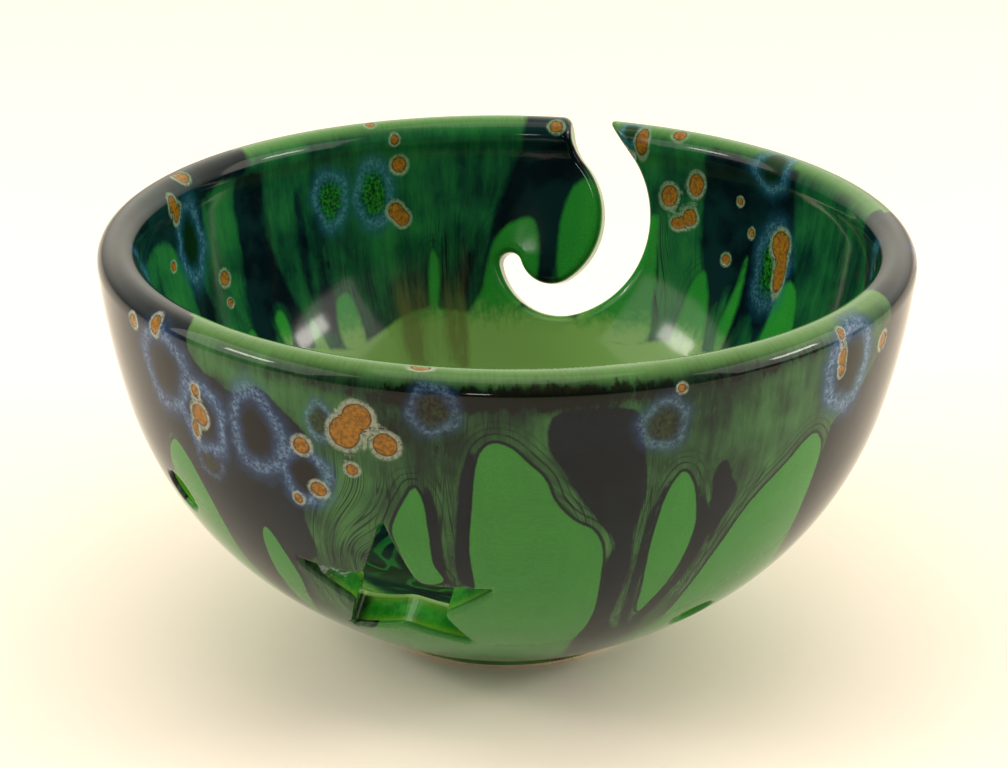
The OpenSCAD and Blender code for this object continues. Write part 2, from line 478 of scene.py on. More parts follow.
slot_round = np.interp(slot_run[-1] - slot_run, [0, SLOT_TIP_LENGTH], [SLOT_TIP_ROUND, SLOT_ROUND])
cuts = [Cut(
    "slot",
    there_and_back(slot_edge_out, slot_in),
    there_and_back(s_of(slot_edge_out, True), s_of(slot_in, False)),
    there_and_back(slot_lining, slot_lining),
    there_and_back(slot_round, slot_round),
)]
wall_cuts = [("star", star_outline(), STAR_AZIMUTH, STAR_TILT, STAR_ROUND)]
for number, (azimuth, tilt) in enumerate(HOLES):
    wall_cuts.append((f"hole_{number}", round_outline(HOLE_R), azimuth, tilt, HOLE_ROUND))
for name, outline, azimuth, tilt, rounding in wall_cuts:
    inner_edge, outer_edge, lining = wall_cut(outline, azimuth, tilt)
    size = np.full(len(lining), float(rounding))
    cuts.append(Cut(name + "_out", outer_edge, s_of(outer_edge, True), lining, size))
    cuts.append(Cut(name + "_in", inner_edge, s_of(inner_edge, False), lining, size))

# Gaps between the rows of the mesh: on the skin that shows, on the roll of its
# rim, and on both for the hidden back of the glaze. Last, the gap between the
# points along the top of the rim.
RING_GAP = 0.9
ROLL_GAP = 0.5
BACK_GAP = 3.0
BACK_ROLL_GAP = 1.5
RIM_GAP = 0.8
# Rows that follow each cut, as shares of the cut's rounding
EDGE_OFFSETS = [0.06, 0.234, 0.5, 0.8, 1.15]
WIDEST_ROUND = max(float(c.rounding.max()) for c in cuts)
FAR_AWAY = 99.0

edge_points = np.vstack([c.points for c in cuts])
edge_s = np.concatenate([c.s for c in cuts])
edge_az = np.concatenate([c.az for c in cuts])
edge_lining = np.vstack([c.lining for c in cuts])
edge_round = np.concatenate([c.rounding for c in cuts])
edge_next = []
for c in cuts:
    c.first = len(edge_next)
    n = len(c.points)
    edge_next += [c.first + (i + 1) % n for i in range(n)]
edge_next = np.array(edge_next)
edge_before = np.argsort(edge_next)
edge_tree = KDTree(len(edge_points))
for index, point in enumerate(edge_points):
    edge_tree.insert(point, index)
edge_tree.balance()


def near_edge(points, reach):
    """Distance to the nearest edge, with the lining direction and rounding there."""
    n = len(points)
    distance = np.full(n, FAR_AWAY)
    lining = np.zeros((n, 3))
    size = np.ones(n)
    nearest = np.full(n, -1)
    for i, p in enumerate(points):
        _, index, far = edge_tree.find(p)
        if far < reach:
            nearest[i] = index
    at = np.where(nearest >= 0)[0]
    p = points[at]
    for a, b in ((edge_before[nearest[at]], nearest[at]), (nearest[at], edge_next[nearest[at]])):
        span = edge_points[b] - edge_points[a]
        t = np.clip(((p - edge_points[a]) * span).sum(1) / (span * span).sum(1), 0, 1)[:, None]
        d = np.linalg.norm(edge_points[a] + span * t - p, axis=1)
        m = edge_lining[a] * (1 - t) + edge_lining[b] * t
        better = d < distance[at]
        k = at[better]
        distance[k] = d[better]
        lining[k] = m[better] / np.linalg.norm(m[better], axis=1)[:, None]
        size[k] = (edge_round[a] * (1 - t[:, 0]) + edge_round[b] * t[:, 0])[better]
    return distance, lining, size


def rounded_skin(az, s):
    """Skin points and normals, with the skin rolled over into each cut."""
    point = skin_point(az, s)
    normal = skin_axes(az, s)[2]
    distance, lining, size = near_edge(point, WIDEST_ROUND)
    distance[:foot_first] = 0
    near = np.clip((size - distance) / size, 0, 1)[:, None]
    into = normal - (normal * lining).sum(1)[:, None] * lining
    into /= np.linalg.norm(into, axis=1)[:, None]
    drop = size[:, None] * (1 - np.sqrt(1 - near ** 2))
    turned = normal * np.sqrt(1 - near ** 2) + lining * near
    turned /= np.linalg.norm(turned, axis=1)[:, None]
    return point - into * drop, np.where(near > 0, turned, normal)


slot_loop = cuts[0]
n_slot = len(slot_in)
# Index of each rim mark in the slot's loop, whose second half is the inner edge
left_mark, right_mark = (slot_loop.first + len(slot_loop.points) - m for m in slot_marks)
foot_count = int(2 * math.pi * FOOT_R / RING_GAP)
foot_az = np.arange(foot_count) * 2 * math.pi / foot_count - math.pi
# The top of the rim, from the slot's left side round the front to its right
start_az = edge_az[left_mark] - (2 * math.pi if edge_az[left_mark] > 0 else 0)
end_az = edge_az[right_mark]
if end_az < start_az:
    end_az += 2 * math.pi
rim_count = int((end_az - start_az) * rim_c[0] / RIM_GAP)
rim_az = start_az + (end_az - start_az) * np.arange(1, rim_count) / rim_count

# Points that every mesh of the skin has: the cuts, the foot and the top of the rim
shared_az = np.r_[edge_az, foot_az, rim_az]
shared_s = np.r_[edge_s, np.zeros(foot_count), np.full(rim_count - 1, S_TOP)]
foot_first = len(edge_az)
rim_first = foot_first + foot_count
rim_chain = [left_mark, *range(rim_first, len(shared_az)), right_mark]
foot_loop = list(range(foot_first, rim_first))


def inside_outline(x, y, outline):
    """Which points are inside a closed outline."""
    result = np.zeros(len(x), bool)
    for (x0, y0), (x1, y1) in zip(outline, np.roll(outline, -1, axis=0)):
        if y0 != y1:
            result ^= ((y0 > y) != (y1 > y)) & (x < (x1 - x0) * (y - y0) / (y1 - y0) + x0)
    return result


def edge_rows(offsets):
    """Azimuth and s of rows of points that follow the cuts."""
    around, tangent, _ = skin_axes(edge_az, edge_s)
    aside = (-edge_lining * around).sum(1) / ring_of(edge_s)[0]
    up = (-edge_lining * tangent).sum(1)
    for share in offsets:
        d = share * edge_round
        az, s = edge_az + d * aside, edge_s + d * up
        # A point is left out where another edge or the top of the rim is closer
        distance = near_edge(skin_point(az, s), 2 * WIDEST_ROUND)[0]
        good = (distance > 0.93 * d) & (np.abs(s - S_TOP) > 0.02)
        yield az[good], s[good]


def level_rows(gap, roll_gap):
    """Azimuth and s of level rows of points on the whole skin, closer together on the rim's roll."""
    level = gap * 0.4
    number = 0
    while level < S_END - 0.6 * gap:
        if abs(level - S_TOP) >= 0.35 * roll_gap:
            n = max(6, int(2 * math.pi * float(ring_of(level)[0]) / gap))
            yield (np.arange(n) + 0.5 * (number % 2)) * 2 * math.pi / n - math.pi, np.full(n, level)
        number += 1
        level += roll_gap if S_TOP - 1.6 * ROLL_R < level < S_TOP + 1.4 * ROLL_R else gap


def without_cuts(w, triangles):
    """The chart's triangles without those in the cuts, all turned the same way round."""
    centre = w[triangles].mean(1)
    gone = np.zeros(len(triangles), bool)
    for c in cuts:
        outline = w[c.first:c.first + len(c.points)]
        near = np.where(((centre > outline.min(0)) & (centre < outline.max(0))).all(1))[0]
        gone[near[inside_outline(*centre[near].T, outline)]] = True
    triangles = triangles[~gone]
    a, b, c = (w[triangles[:, k]] for k in range(3))
    turn = (b[:, 0] - a[:, 0]) * (c[:, 1] - a[:, 1]) - (b[:, 1] - a[:, 1]) * (c[:, 0] - a[:, 0])
    triangles[turn < 0] = triangles[turn < 0][:, ::-1]
    return triangles


def skin_mesh(gap, roll_gap, offsets):
    """Azimuth, s and triangles of the whole skin. The shared points come first."""
    rows = [(shared_az, shared_s), *edge_rows(offsets)]
    ring_az, ring_s = (np.concatenate(row) for row in zip(*level_rows(gap, roll_gap)))
    last_offset = offsets[-1] if offsets else 0
    distance, _, size = near_edge(skin_point(ring_az, ring_s), last_offset * WIDEST_ROUND + gap)
    keep = distance > last_offset * size + 0.45 * gap
    rows += [(ring_az[keep], ring_s[keep]), ([0.0], [S_END])]
    az, s = (np.concatenate(row) for row in zip(*rows))
    w = chart(az, s)
    # Stretched so that the inside of the bowl isn't small beside the outside
    w /= np.maximum(np.hypot(w[:, 0], w[:, 1]), 1e-9)[:, None] ** 0.5
    w[-1] = 0
    lines = [(i, int(edge_next[i])) for i in range(foot_first)]
    lines += [(foot_loop[i - 1], foot_loop[i]) for i in range(foot_count)]
    lines += list(zip(rim_chain[:-1], rim_chain[1:]))
    points, _, triangles, origins = delaunay_2d_cdt([Vector(p) for p in w], lines, [], 0, 1e-9)[:4]
    assert len(points) == len(w), "the outlines cross"
    assert all(len(o) == 1 for o in origins), "two points fell together"
    return az, s, without_cuts(w, np.array([o[0] for o in origins])[np.array(triangles)])


front_az, front_s, front_triangles = skin_mesh(RING_GAP, ROLL_GAP, EDGE_OFFSETS)
front_point, front_normal = rounded_skin(front_az, front_s)
back_az, back_s, back_triangles = skin_mesh(BACK_GAP, BACK_ROLL_GAP, [])
back_point, back_normal = rounded_skin(back_az, back_s)
back_point = back_point - COAT * back_normal


# ---------------------------------------------------------------- pieces

def open_edges(triangles):
    """Directed edges that only one face has."""
    edges = np.vstack([triangles[:, [0, 1]], triangles[:, [1, 2]], triangles[:, [2, 0]]])
    big = int(triangles.max()) + 1
    return edges[~np.isin(edges[:, 0] * big + edges[:, 1], edges[:, 1] * big + edges[:, 0])]


def with_area(faces):
    """Only the triangles with three different corners."""
    a, b, c = faces.T
    return faces[(a != b) & (b != c) & (c != a)]


def cells(rows, columns, closed=True):
    """Corners of the cells between rows of points: a and b in one row, c and d in the next."""
    k, i = np.mgrid[0:rows, 0:columns if closed else columns - 1].reshape(2, -1)
    j = (i + 1) % columns
    return k * columns + i, k * columns + j, (k + 1) * columns + j, (k + 1) * columns + i


def area_vectors(points, faces):
    a, b, c = (points[faces[:, k]] for k in range(3))
    return np.cross(b - a, c - a)


def compact(points, faces, *extras):
    """Drops the points that no face uses."""
    used = np.zeros(len(points), bool)
    used[faces] = True
    renumber = np.cumsum(used) - 1
    return (points[used], renumber[faces]) + tuple(e[used] for e in extras)


def coat(front, front_n, front_faces, back, back_n, back_faces):
    """Points, normals and faces of a closed coat. The open edges of both skins share their numbers."""
    rim = open_edges(front_faces)
    n = len(front)
    faces = np.vstack([
        front_faces,
        back_faces[:, ::-1] + n,
        np.stack([rim[:, 1], rim[:, 0], rim[:, 0] + n], 1),
        np.stack([rim[:, 1], rim[:, 0] + n, rim[:, 1] + n], 1),
    ])
    return np.vstack([front, back]), np.vstack([front_n, -back_n]), faces


def make_object(name, points, faces, normals=None, fields=None):
    """A mesh object in metres from points in millimetres."""
    mesh = bpy.data.meshes.new(name)
    mesh.vertices.add(len(points))
    mesh.vertices.foreach_set("co", (points * MM).astype(np.float32).ravel())
    mesh.loops.add(faces.size)
    mesh.loops.foreach_set("vertex_index", faces.ravel().astype(np.int32))
    mesh.polygons.add(len(faces))
    mesh.polygons.foreach_set("loop_start", (np.arange(len(faces)) * faces.shape[1]).astype(np.int32))
    mesh.polygons.foreach_set("use_smooth", np.ones(len(faces), bool))
    mesh.update(calc_edges=True)
    mesh.validate()
    for field, values in (fields or {}).items():
        kind, key = ("FLOAT_VECTOR", "vector") if values.ndim == 2 else ("FLOAT", "value")
        data = mesh.attributes.new(field, kind, "POINT").data
        data.foreach_set(key, values.astype(np.float32).ravel())
    if normals is not None:
        mesh.normals_split_custom_set_from_vertices(normals.astype(np.float32))
    obj = bpy.data.objects.new(name, mesh)
    bpy.context.scene.collection.objects.link(obj)
    return obj


LINING_ROWS = 9


def lining_of(inner_index, outer_index, closed):
    """The lining of one cut: a grid between its two edges, as points, faces, normals and depth."""
    inner = front_point[inner_index]
    outer = front_point[outer_index]
    n = len(inner)
    points = np.vstack([inner + (outer - inner) * k / LINING_ROWS for k in range(LINING_ROWS + 1)])
    normals = np.vstack([edge_lining[outer_index]] * (LINING_ROWS + 1))
    depth = np.repeat(np.arange(LINING_ROWS + 1) / LINING_ROWS, n)
    a, b, c, d = cells(LINING_ROWS, n, closed)
    faces = np.vstack([np.stack([a, b, d], 1), np.stack([b, c, d], 1)])
    if not closed:
        # At the ends of the slot the two edges meet in one point
        merged = np.arange(len(points))
        merged[::n] = 0
        merged[n - 1::n] = n - 1
        faces = with_area(merged[faces])
    if (area_vectors(points, faces) * normals[faces[:, 0]]).sum() < 0:
        faces = faces[:, ::-1]
    return points, faces, normals, depth


slot_outer_index = slot_loop.first + np.arange(n_slot)
slot_inner_index = slot_outer_index.copy()
slot_inner_index[1:-1] = slot_loop.first + len(slot_loop.points) - np.arange(1, n_slot - 1)
linings = {"slot": lining_of(slot_inner_index, slot_outer_index, False)}
for outer_cut, inner_cut in zip(cuts[1::2], cuts[2::2]):
    number = np.arange(len(outer_cut.points))
    label = outer_cut.name.removesuffix("_out")
    linings[label] = lining_of(inner_cut.first + number, outer_cut.first + number, True)


def joined(parts):
    """Several (points, faces, ...) as one."""
    firsts = np.cumsum([0] + [len(part[0]) for part in parts[:-1]])
    faces = np.vstack([part[1] + first for part, first in zip(parts, firsts)])
    rest = [np.concatenate(values) for values in zip(*(part[2:] for part in parts))]
    return np.vstack([part[0] for part in parts]), faces, *rest


def welded(points, faces):
    """The same faces with points at one place made one."""
    _, first, number = np.unique(np.round(points, 3), axis=0, return_index=True, return_inverse=True)
    return points[first], with_area(number.ravel()[faces])


# Points, faces, normals, azimuth, s and hidden side of each coat
coats = {}
both_az = np.r_[front_az, back_az]
both_s = np.r_[front_s, back_s]
is_back = np.repeat([0.0, 1.0], [len(front_az), len(back_az)])
for name, outside in (("outside_glaze", True), ("inside_glaze", False)):
    front = front_triangles[(front_s[front_triangles].mean(1) < S_TOP) == outside]
    back = back_triangles[(back_s[back_triangles].mean(1) < S_TOP) == outside]
    points, normals, faces = coat(front_point, front_normal, front, back_point, back_normal, back)
    coats[name] = compact(points, faces, normals, both_az, both_s, is_back)
# Points, normals, faces of each cut's coat, and the share of the wall's depth at each point
lining_coats = {}
body_parts = [(back_point, back_triangles)]
for name in ("slot_glaze", "star_glaze", "hole_glaze"):
    kind = name.removesuffix("_glaze")
    p, f, n, depth = joined([lining for label, lining in linings.items() if label.startswith(kind)])
    back = p - COAT * n
    lining_coats[name] = (*coat(p, n, f, back, n, f), np.r_[depth, depth])
    body_parts.append((back, f))

# The underside of the clay, from the edge of the glaze to the middle, with
# the fine rings that the turning tool left
RECESS_Z = 2.0
under_r = [28.4, *np.arange(27.5, 1.0, -0.5)]
rows = [back_point[foot_first:rim_first]]
for r in under_r:
    z = RECESS_Z + 0.05 * np.sin(r * 3.1 + foot_az) + 0.03 * np.sin(r * 7.3 - foot_az)
    rows.append(place_at(foot_az, r, z))
under = np.vstack(rows + [[[0, 0, RECESS_Z]]])
a, b, c, d = cells(len(under_r), foot_count)
last_row = len(under_r) * foot_count + np.arange(foot_count)
middle = np.full(foot_count, len(under) - 1)
under_faces = np.vstack([np.stack(corners, 1) for corners in (
    (a, c, b), (a, d, c), (last_row, middle, np.roll(last_row, -1)))])
if area_vectors(under, under_faces)[:, 2].sum() > 0:
    under_faces = under_faces[:, ::-1]
body_parts.append((under, under_faces))
body = welded(*joined(body_parts))


# ---------------------------------------------------------------- glaze pattern

# Where each colour of the glaze lies, as outlines of (azimuth in degrees, drop) points.
# Bright green shows where the dark second coat has parted or ended.
BRIGHT_OUTSIDE = [
    [(11.5, 14.5), (13.5, 15.3), (15.5, 18), (18, 22), (19.5, 27), (22, 31), (25, 34), (26.5, 39),
     (27, 48), (27.4, 57), (27, 64), (26, 72), (27, 82), (30, 94), (30, 105), (-26, 105), (-24, 88),
     (-19, 76), (-12, 70), (-6, 60), (2, 52), (8, 49), (8.6, 46), (8.2, 38), (8.7, 28), (9.2, 20),
     (10, 16)],
    [(36.6, 23), (38.2, 26), (39.3, 31), (39.8, 36), (39.5, 42), (38.6, 49), (37.2, 55), (35.8, 60),
     (34.8, 57), (34.2, 51), (33.6, 43), (33.6, 36), (34.3, 29), (35.3, 25)],
    [(58.5, 22.8), (60.5, 25), (61.4, 29), (61.3, 38), (61.8, 46), (63, 53), (66, 60), (72, 66),
     (82, 70), (90, 78), (90, 105), (39, 105), (40, 90), (41, 75), (42.4, 65), (43, 57), (44.3, 48),
     (46, 41), (48, 35), (51, 30.5), (54.5, 26.5), (56.5, 24)],
    [(1.2, 24.5), (2.3, 28), (2.7, 35), (2.9, 42), (4.2, 46.5), (1.5, 48), (-0.5, 45.5), (-1.6, 40),
     (-2.3, 35), (-1.6, 31.5), (0, 27)],
    [(-39.5, 28.5), (-37.5, 30.5), (-36, 34), (-34.6, 40), (-34.2, 47), (-34.6, 55), (-33.5, 66),
     (-31, 80), (-29, 95), (-29, 105), (-98, 105), (-98, 75), (-88, 66), (-82, 52), (-79, 40),
     (-76, 42), (-74, 54), (-68, 64), (-60, 60), (-52, 52), (-46, 46), (-44.3, 41), (-43.5, 36),
     (-42, 31.5)],
    [(-23.5, 41), (-22.2, 44), (-21.3, 50), (-21.2, 55), (-22.3, 60), (-24, 66), (-26.5, 73),
     (-27.4, 70), (-27, 62), (-26.5, 55), (-25.6, 48), (-24.8, 43.5)],
    [(118, 30), (121, 34), (123, 42), (123.5, 52), (125, 62), (130, 70), (130, 105), (84, 105),
     (84, 74), (88, 66), (90, 52), (92, 40), (94.5, 34), (97, 42), (98, 56), (101, 70), (106, 70),
     (112, 62), (114, 50), (115, 38)],
    [(146, 20), (149, 24), (150.5, 34), (151, 46), (152, 58), (156, 68), (160, 80), (160, 105),
     (128, 105), (129, 82), (136, 72), (140, 60), (141, 44), (142.5, 28)],
    [(171, 40), (173, 44), (174, 54), (173, 63), (170.5, 68), (168.5, 60), (168.5, 48)],
    [(192, 26), (195, 30), (197, 40), (197, 54), (199, 66), (204, 76), (204, 105), (158, 105),
     (159, 84), (166, 78), (178, 76), (185, 68), (187, 54), (187.5, 38), (189, 29)],
    [(214, 46), (216, 52), (216, 62), (213.5, 70), (211.5, 62), (212, 52)],
    [(236, 24), (239, 29), (241, 40), (242, 54), (246, 64), (256, 72), (264, 74), (264, 105),
     (202, 105), (203, 84), (212, 80), (222, 74), (229, 62), (231, 46), (232, 32)],
]
NAVY_OUTSIDE = [
    [(19, 9), (24, 8), (29, 9), (30.3, 13), (31, 20), (31.6, 27), (30.6, 36), (31.2, 45), (30.8, 55),
     (31.5, 64), (36, 72), (38, 82), (38, 105), (31, 105), (28, 92), (26, 80), (26.3, 72),
     (27.2, 62), (27.4, 50), (27.2, 42), (28, 37), (25, 31), (22.5, 26), (20, 20), (18.2, 15)],
    [(34.8, 24.5), (33.6, 31), (33.1, 38), (33.2, 46), (33.7, 54), (34.4, 60), (35.2, 66), (34, 68),
     (32.5, 60), (31.9, 50), (31.9, 42), (32.4, 33), (33.6, 27)],
    [(38.9, 25), (40.6, 30), (42.8, 36), (42.2, 42), (41, 49), (39.4, 57), (38, 65), (37.5, 76),
     (34.5, 72), (35.6, 62), (38, 54), (39.6, 46), (40.2, 37), (39.7, 31)],
    [(42, 22.5), (43.3, 23), (44.2, 26), (45.6, 29.5), (45.2, 33), (43.8, 38), (43.2, 42),
     (42.6, 38), (41.6, 31), (41.2, 26)],
    [(9, 16), (9.2, 19), (8.8, 24), (8.4, 32), (8.1, 40), (8.4, 46), (10, 48.5), (8, 48),
     (6.4, 46), (6, 40), (6.5, 32), (7, 24), (7.8, 18)],
    [(2.6, 24), (3.6, 26), (4.2, 32), (4.6, 39), (4.9, 45), (6, 48), (3.8, 46.5), (3, 41),
     (2.8, 34), (2.3, 28)],
    [(-27, 10.5), (-24, 12), (-20, 9.5), (-16, 13), (-13, 17), (-12, 22), (-12.5, 27), (-15, 31),
     (-15.3, 38), (-14.9, 44), (-17, 47), (-20, 49), (-20, 56), (-21.5, 62), (-24, 70), (-26, 80),
     (-29, 84), (-32, 78), (-34, 66), (-34.6, 56), (-33.8, 47), (-34.4, 40), (-36, 33), (-39.5, 27.5),
     (-43, 32), (-44.5, 40), (-50, 46), (-58, 50), (-66, 57), (-70, 58), (-71, 44), (-68, 30),
     (-71, 14), (-70, -3), (-40, -3), (-34, 0), (-31.5, 7), (-29, 10)],
    [(62, 26), (63, 22), (66, 20), (71, 14), (75, 6), (77, -3), (90, -3), (91, 6), (89, 16),
     (90, 28), (87, 40), (86, 54), (82, 64), (73, 63), (66.5, 57), (63.4, 51), (62.2, 44), (61.7, 36)],
    [(100, -3), (108, -3), (113, 6), (115, 16), (114, 28), (113, 44), (110, 58), (104, 66), (101, 56),
     (102, 40), (99, 26), (100, 12)],
    [(126, 8), (134, 6), (139, 14), (141, 26), (139.5, 42), (138, 56), (134, 68), (129.5, 66),
     (126, 56), (125, 44), (123.5, 34), (122, 24), (123, 14)],
    [(160, 10), (170, 8), (180, 12), (186, 20), (187, 30), (185.5, 44), (184.5, 58), (180, 70),
     (172, 73), (162, 74), (156, 62), (154, 48), (153.5, 34), (155, 20)],
    [(204, 14), (214, 10), (224, 14), (230, 22), (230.5, 34), (229, 48), (226, 60), (216, 72),
     (206, 76), (200, 64), (199, 48), (199, 34), (200, 22)],
    [(246, -3), (262, -3), (264, 12), (260, 28), (262, 46), (258, 62), (250, 62), (244.5, 48),
     (243.5, 36), (241, 22), (242, 8)],
    [(270, 24), (273, 20), (276, 28), (277, 44), (275, 60), (271, 56), (269, 40)],
    [(262, -3), (291, -3), (291, 9), (284, 6), (275, 9), (266, 7), (261, 9)],
    [(88, -3), (103, -3), (102, 7), (95, 6), (88, 9)],
]
BRIGHT_INSIDE = [
    [(179, 15), (181.5, 18), (183, 24), (183.4, 31), (182.8, 38), (180, 39), (177, 35), (174.5, 29),
     (174, 22), (176, 17)],
    [(188.5, 24.5), (192, 25.5), (195, 29), (196.5, 34), (198, 41), (200, 45), (198, 48.5),
     (194.5, 49), (191.5, 46), (188, 40), (187, 34), (187.3, 28)],
    [(165, 21), (168, 25), (168.5, 33), (171, 38), (176, 42), (179, 50), (163.6, 50), (163.4, 40),
     (164.2, 30)],
    [(154, 31), (156, 35), (157, 42), (157, 50), (150, 50), (151, 40), (152.5, 34)],
    [(131, 28), (134, 27), (136, 33), (136, 50), (127, 50), (129, 36)],
    [(145, 25), (146, 32), (147.6, 42), (145.6, 48), (144.6, 36)],
    [(224.6, 39), (227.8, 40), (228.5, 50), (223.5, 50)],
    [(241, 38), (242.6, 40), (242.3, 45), (240.4, 46), (239.8, 41)],
    [(234, 42), (235, 44), (235, 52), (232, 52), (233, 46)],
    [(207, 31), (208, 36), (208.6, 45), (208, 54), (207, 46), (206, 36)],
    [(249, 40), (251, 42), (252, 54), (246, 54), (248, 44)],
    [(-60, 20), (-55, 26), (-53, 38), (-52, 52), (-70, 52), (-66, 36), (-64, 26)],
    [(-30, 30), (-27, 36), (-26, 52), (-38, 52), (-34, 38)],
    [(4, 24), (8, 28), (10, 38), (11, 52), (-3, 52), (-1, 38), (1, 28)],
    [(36, 34), (39, 40), (39, 52), (32, 52), (33, 40)],
    [(62, 22), (66, 28), (68, 38), (70, 52), (56, 52), (58, 36), (59, 27)],
    [(92, 28), (95, 34), (96, 50), (86, 50), (88, 36)],
]
NAVY_INSIDE = [
    [(136, 3), (143, 5), (155, 4), (156.5, 12), (156, 20), (155, 28), (153, 33), (151, 40),
     (149, 36), (147.5, 33), (147, 42), (145, 46), (142.5, 38), (140.5, 38), (138, 44), (136, 36),
     (134.5, 29), (131, 29), (134.5, 20), (135.5, 10)],
    [(180.5, -3), (189, -3), (190, 4), (191, 10), (193, 16), (195.5, 24), (196.8, 30), (198, 37),
     (198.5, 42), (197, 44), (195.8, 41), (195.8, 34), (193.5, 28), (190.5, 25), (188, 25.5), (187, 31),
     (187, 38), (184.8, 39), (183.4, 34), (182.8, 27), (181.5, 19), (179, 14), (179.5, 6)],
    [(199.2, 32), (200.8, 33), (202, 39), (201.6, 45), (200.4, 41), (199.6, 36)],
    [(240, 8), (246, 7), (247, 12), (247, 22), (248, 32), (249, 40), (247, 46), (243.5, 43),
     (242.5, 37), (239.5, 38), (238.5, 47), (236, 48), (236.5, 38), (239, 28), (240.5, 18)],
    [(243, -3), (256, -3), (274, -3), (274, 5), (262, 8), (256, 9), (250, 6.5), (244, 7)],
    [(228.7, 35), (231, 37), (231.5, 45), (229.2, 46), (228.3, 41)],
    [(232, 14), (233.4, 16), (233.6, 30), (232.6, 38), (231.6, 28)],
    [(256, 8), (264, 5), (274, -2), (290, -3), (310, -3), (312, 14), (306, 30), (302, 42),
     (296, 36), (290, 22), (282, 14), (272, 12), (266, 15), (263, 23), (262.5, 32), (260, 42),
     (257.5, 32), (258.5, 25), (255.5, 18)],
    [(-46, 6), (-38, 5), (-36, 18), (-38, 32), (-41, 44), (-45, 36), (-48, 20)],
    [(-22, 6), (-10, 7), (-8, 18), (-10, 34), (-14, 46), (-18, 40), (-22, 24)],
    [(16, 6), (26, 5), (28, 18), (26, 30), (22, 44), (18, 34), (14, 18)],
    [(44, 8), (52, 6), (54, 20), (52, 36), (48, 48), (45, 36), (43, 20)],
    [(74, 4), (84, 3), (100, -3), (112, -3), (108, 14), (102, 26), (98, 38), (92, 26), (86, 24),
     (82, 40), (78, 44), (75, 28), (73, 14)],
    [(77, -3), (102, -3), (101, 5), (90, 4), (79, 6)],
    [(-52, -3), (-36, -3), (-37, 3), (-44, 6), (-52, 8)],
]
# Blue rings left by crystals in the glaze: azimuth, drop, half width and half
# height in mm, and how bright the blue is. Below 0.75 the middle is green.
RINGS_OUTSIDE = [
    (-38, 13, 6.6, 7.6, 0.8), (-31, 20, 5.4, 7.2, 1), (-31.5, 30, 3.4, 2.8, 0.35),
    (-21, 19, 5.4, 8.2, 0.8), (-14, 25.5, 4.6, 5.8, 0.9), (-11, 13.5, 2.4, 3.8, 0.6),
    (4, 8.5, 4, 4.4, 0.5), (33, 12.5, 4.3, 4.6, 0.55), (64, 11.2, 6.4, 8.2, 1),
    (96, 12, 6, 7, 0.8), (109, 20, 4.6, 7, 0.9), (135, 15, 5.6, 7.6, 0.9), (176, 17, 4.6, 7, 0.8),
    (207, 14, 5.4, 6.6, 0.9), (216, 22, 4, 5.4, 0.7), (252, 16, 6, 7.6, 0.9), (268, 10, 5, 6, 0.8),
    (-77, 16, 5.6, 7.4, 0.8),
]
RINGS_INSIDE = [
    (217.5, 17.6, 4.2, 7, 0.7), (226, 17, 3.9, 6, 0.7), (260, 16, 4.4, 8.2, 0.8),
    (142, 4, 4.6, 5.5, 0.9), (171, 3, 2.6, 3, 0.8), (138.6, 25, 4.8, 9, 0.6),
    (-68, 12, 4.6, 7, 0.9), (-24, 15, 5, 7.4, 0.9), (31, 13, 4.6, 7, 0.8),
    (50, 16, 4, 5.6, 0.9), (100, 12, 5, 7, 0.8), (283, 18, 4.4, 6.4, 0.8),
]
# Rust-coloured crystals: azimuth, drop, half width and half height in mm
CRYSTALS_OUTSIDE = [
    (-45.3, 6.8, 1.4, 1.2), (-39.3, 4.8, 1.3, 1.8), (-31.5, 14.5, 1, 1.1), (-31.4, 19.5, 1.9, 2.2),
    (-33, 23.2, 0.8, 1.5), (-14, 19.2, 1.6, 1.6), (-12.3, 28, 1.5, 1.4), (-15.8, 31.2, 0.8, 1),
    (-5.7, 11.4, 2.6, 2.5), (-7.6, 14.9, 2.8, 3), (-2.2, 16.3, 2.2, 2.2), (-7, 22.3, 1.1, 1.1),
    (35, 6, 0.7, 0.7), (61.6, 4, 0.8, 1), (61.8, 8.4, 1, 1.5), (62.1, 11.4, 0.9, 1.1),
    (73, 10.3, 1.4, 1.6), (2, 0.4, 1.7, 0.8), (98, 9, 1.6, 1.8), (109, 19, 1.5, 2), (118, 12, 1, 1),
    (134, 14, 2.2, 2.4), (137, 18, 1.6, 1.4), (152, 8, 1.2, 1.2), (177, 16, 1.8, 2.2),
    (206, 12, 2.3, 2), (209, 15.5, 1.8, 2.2), (216.5, 22, 1.3, 1.5), (228, 9, 1, 1), (252, 14, 1.7, 2.3),
    (269, 8, 1.8, 1.6), (-77, 14, 1.5, 1.9), (-66, 24, 1, 1.2),
]
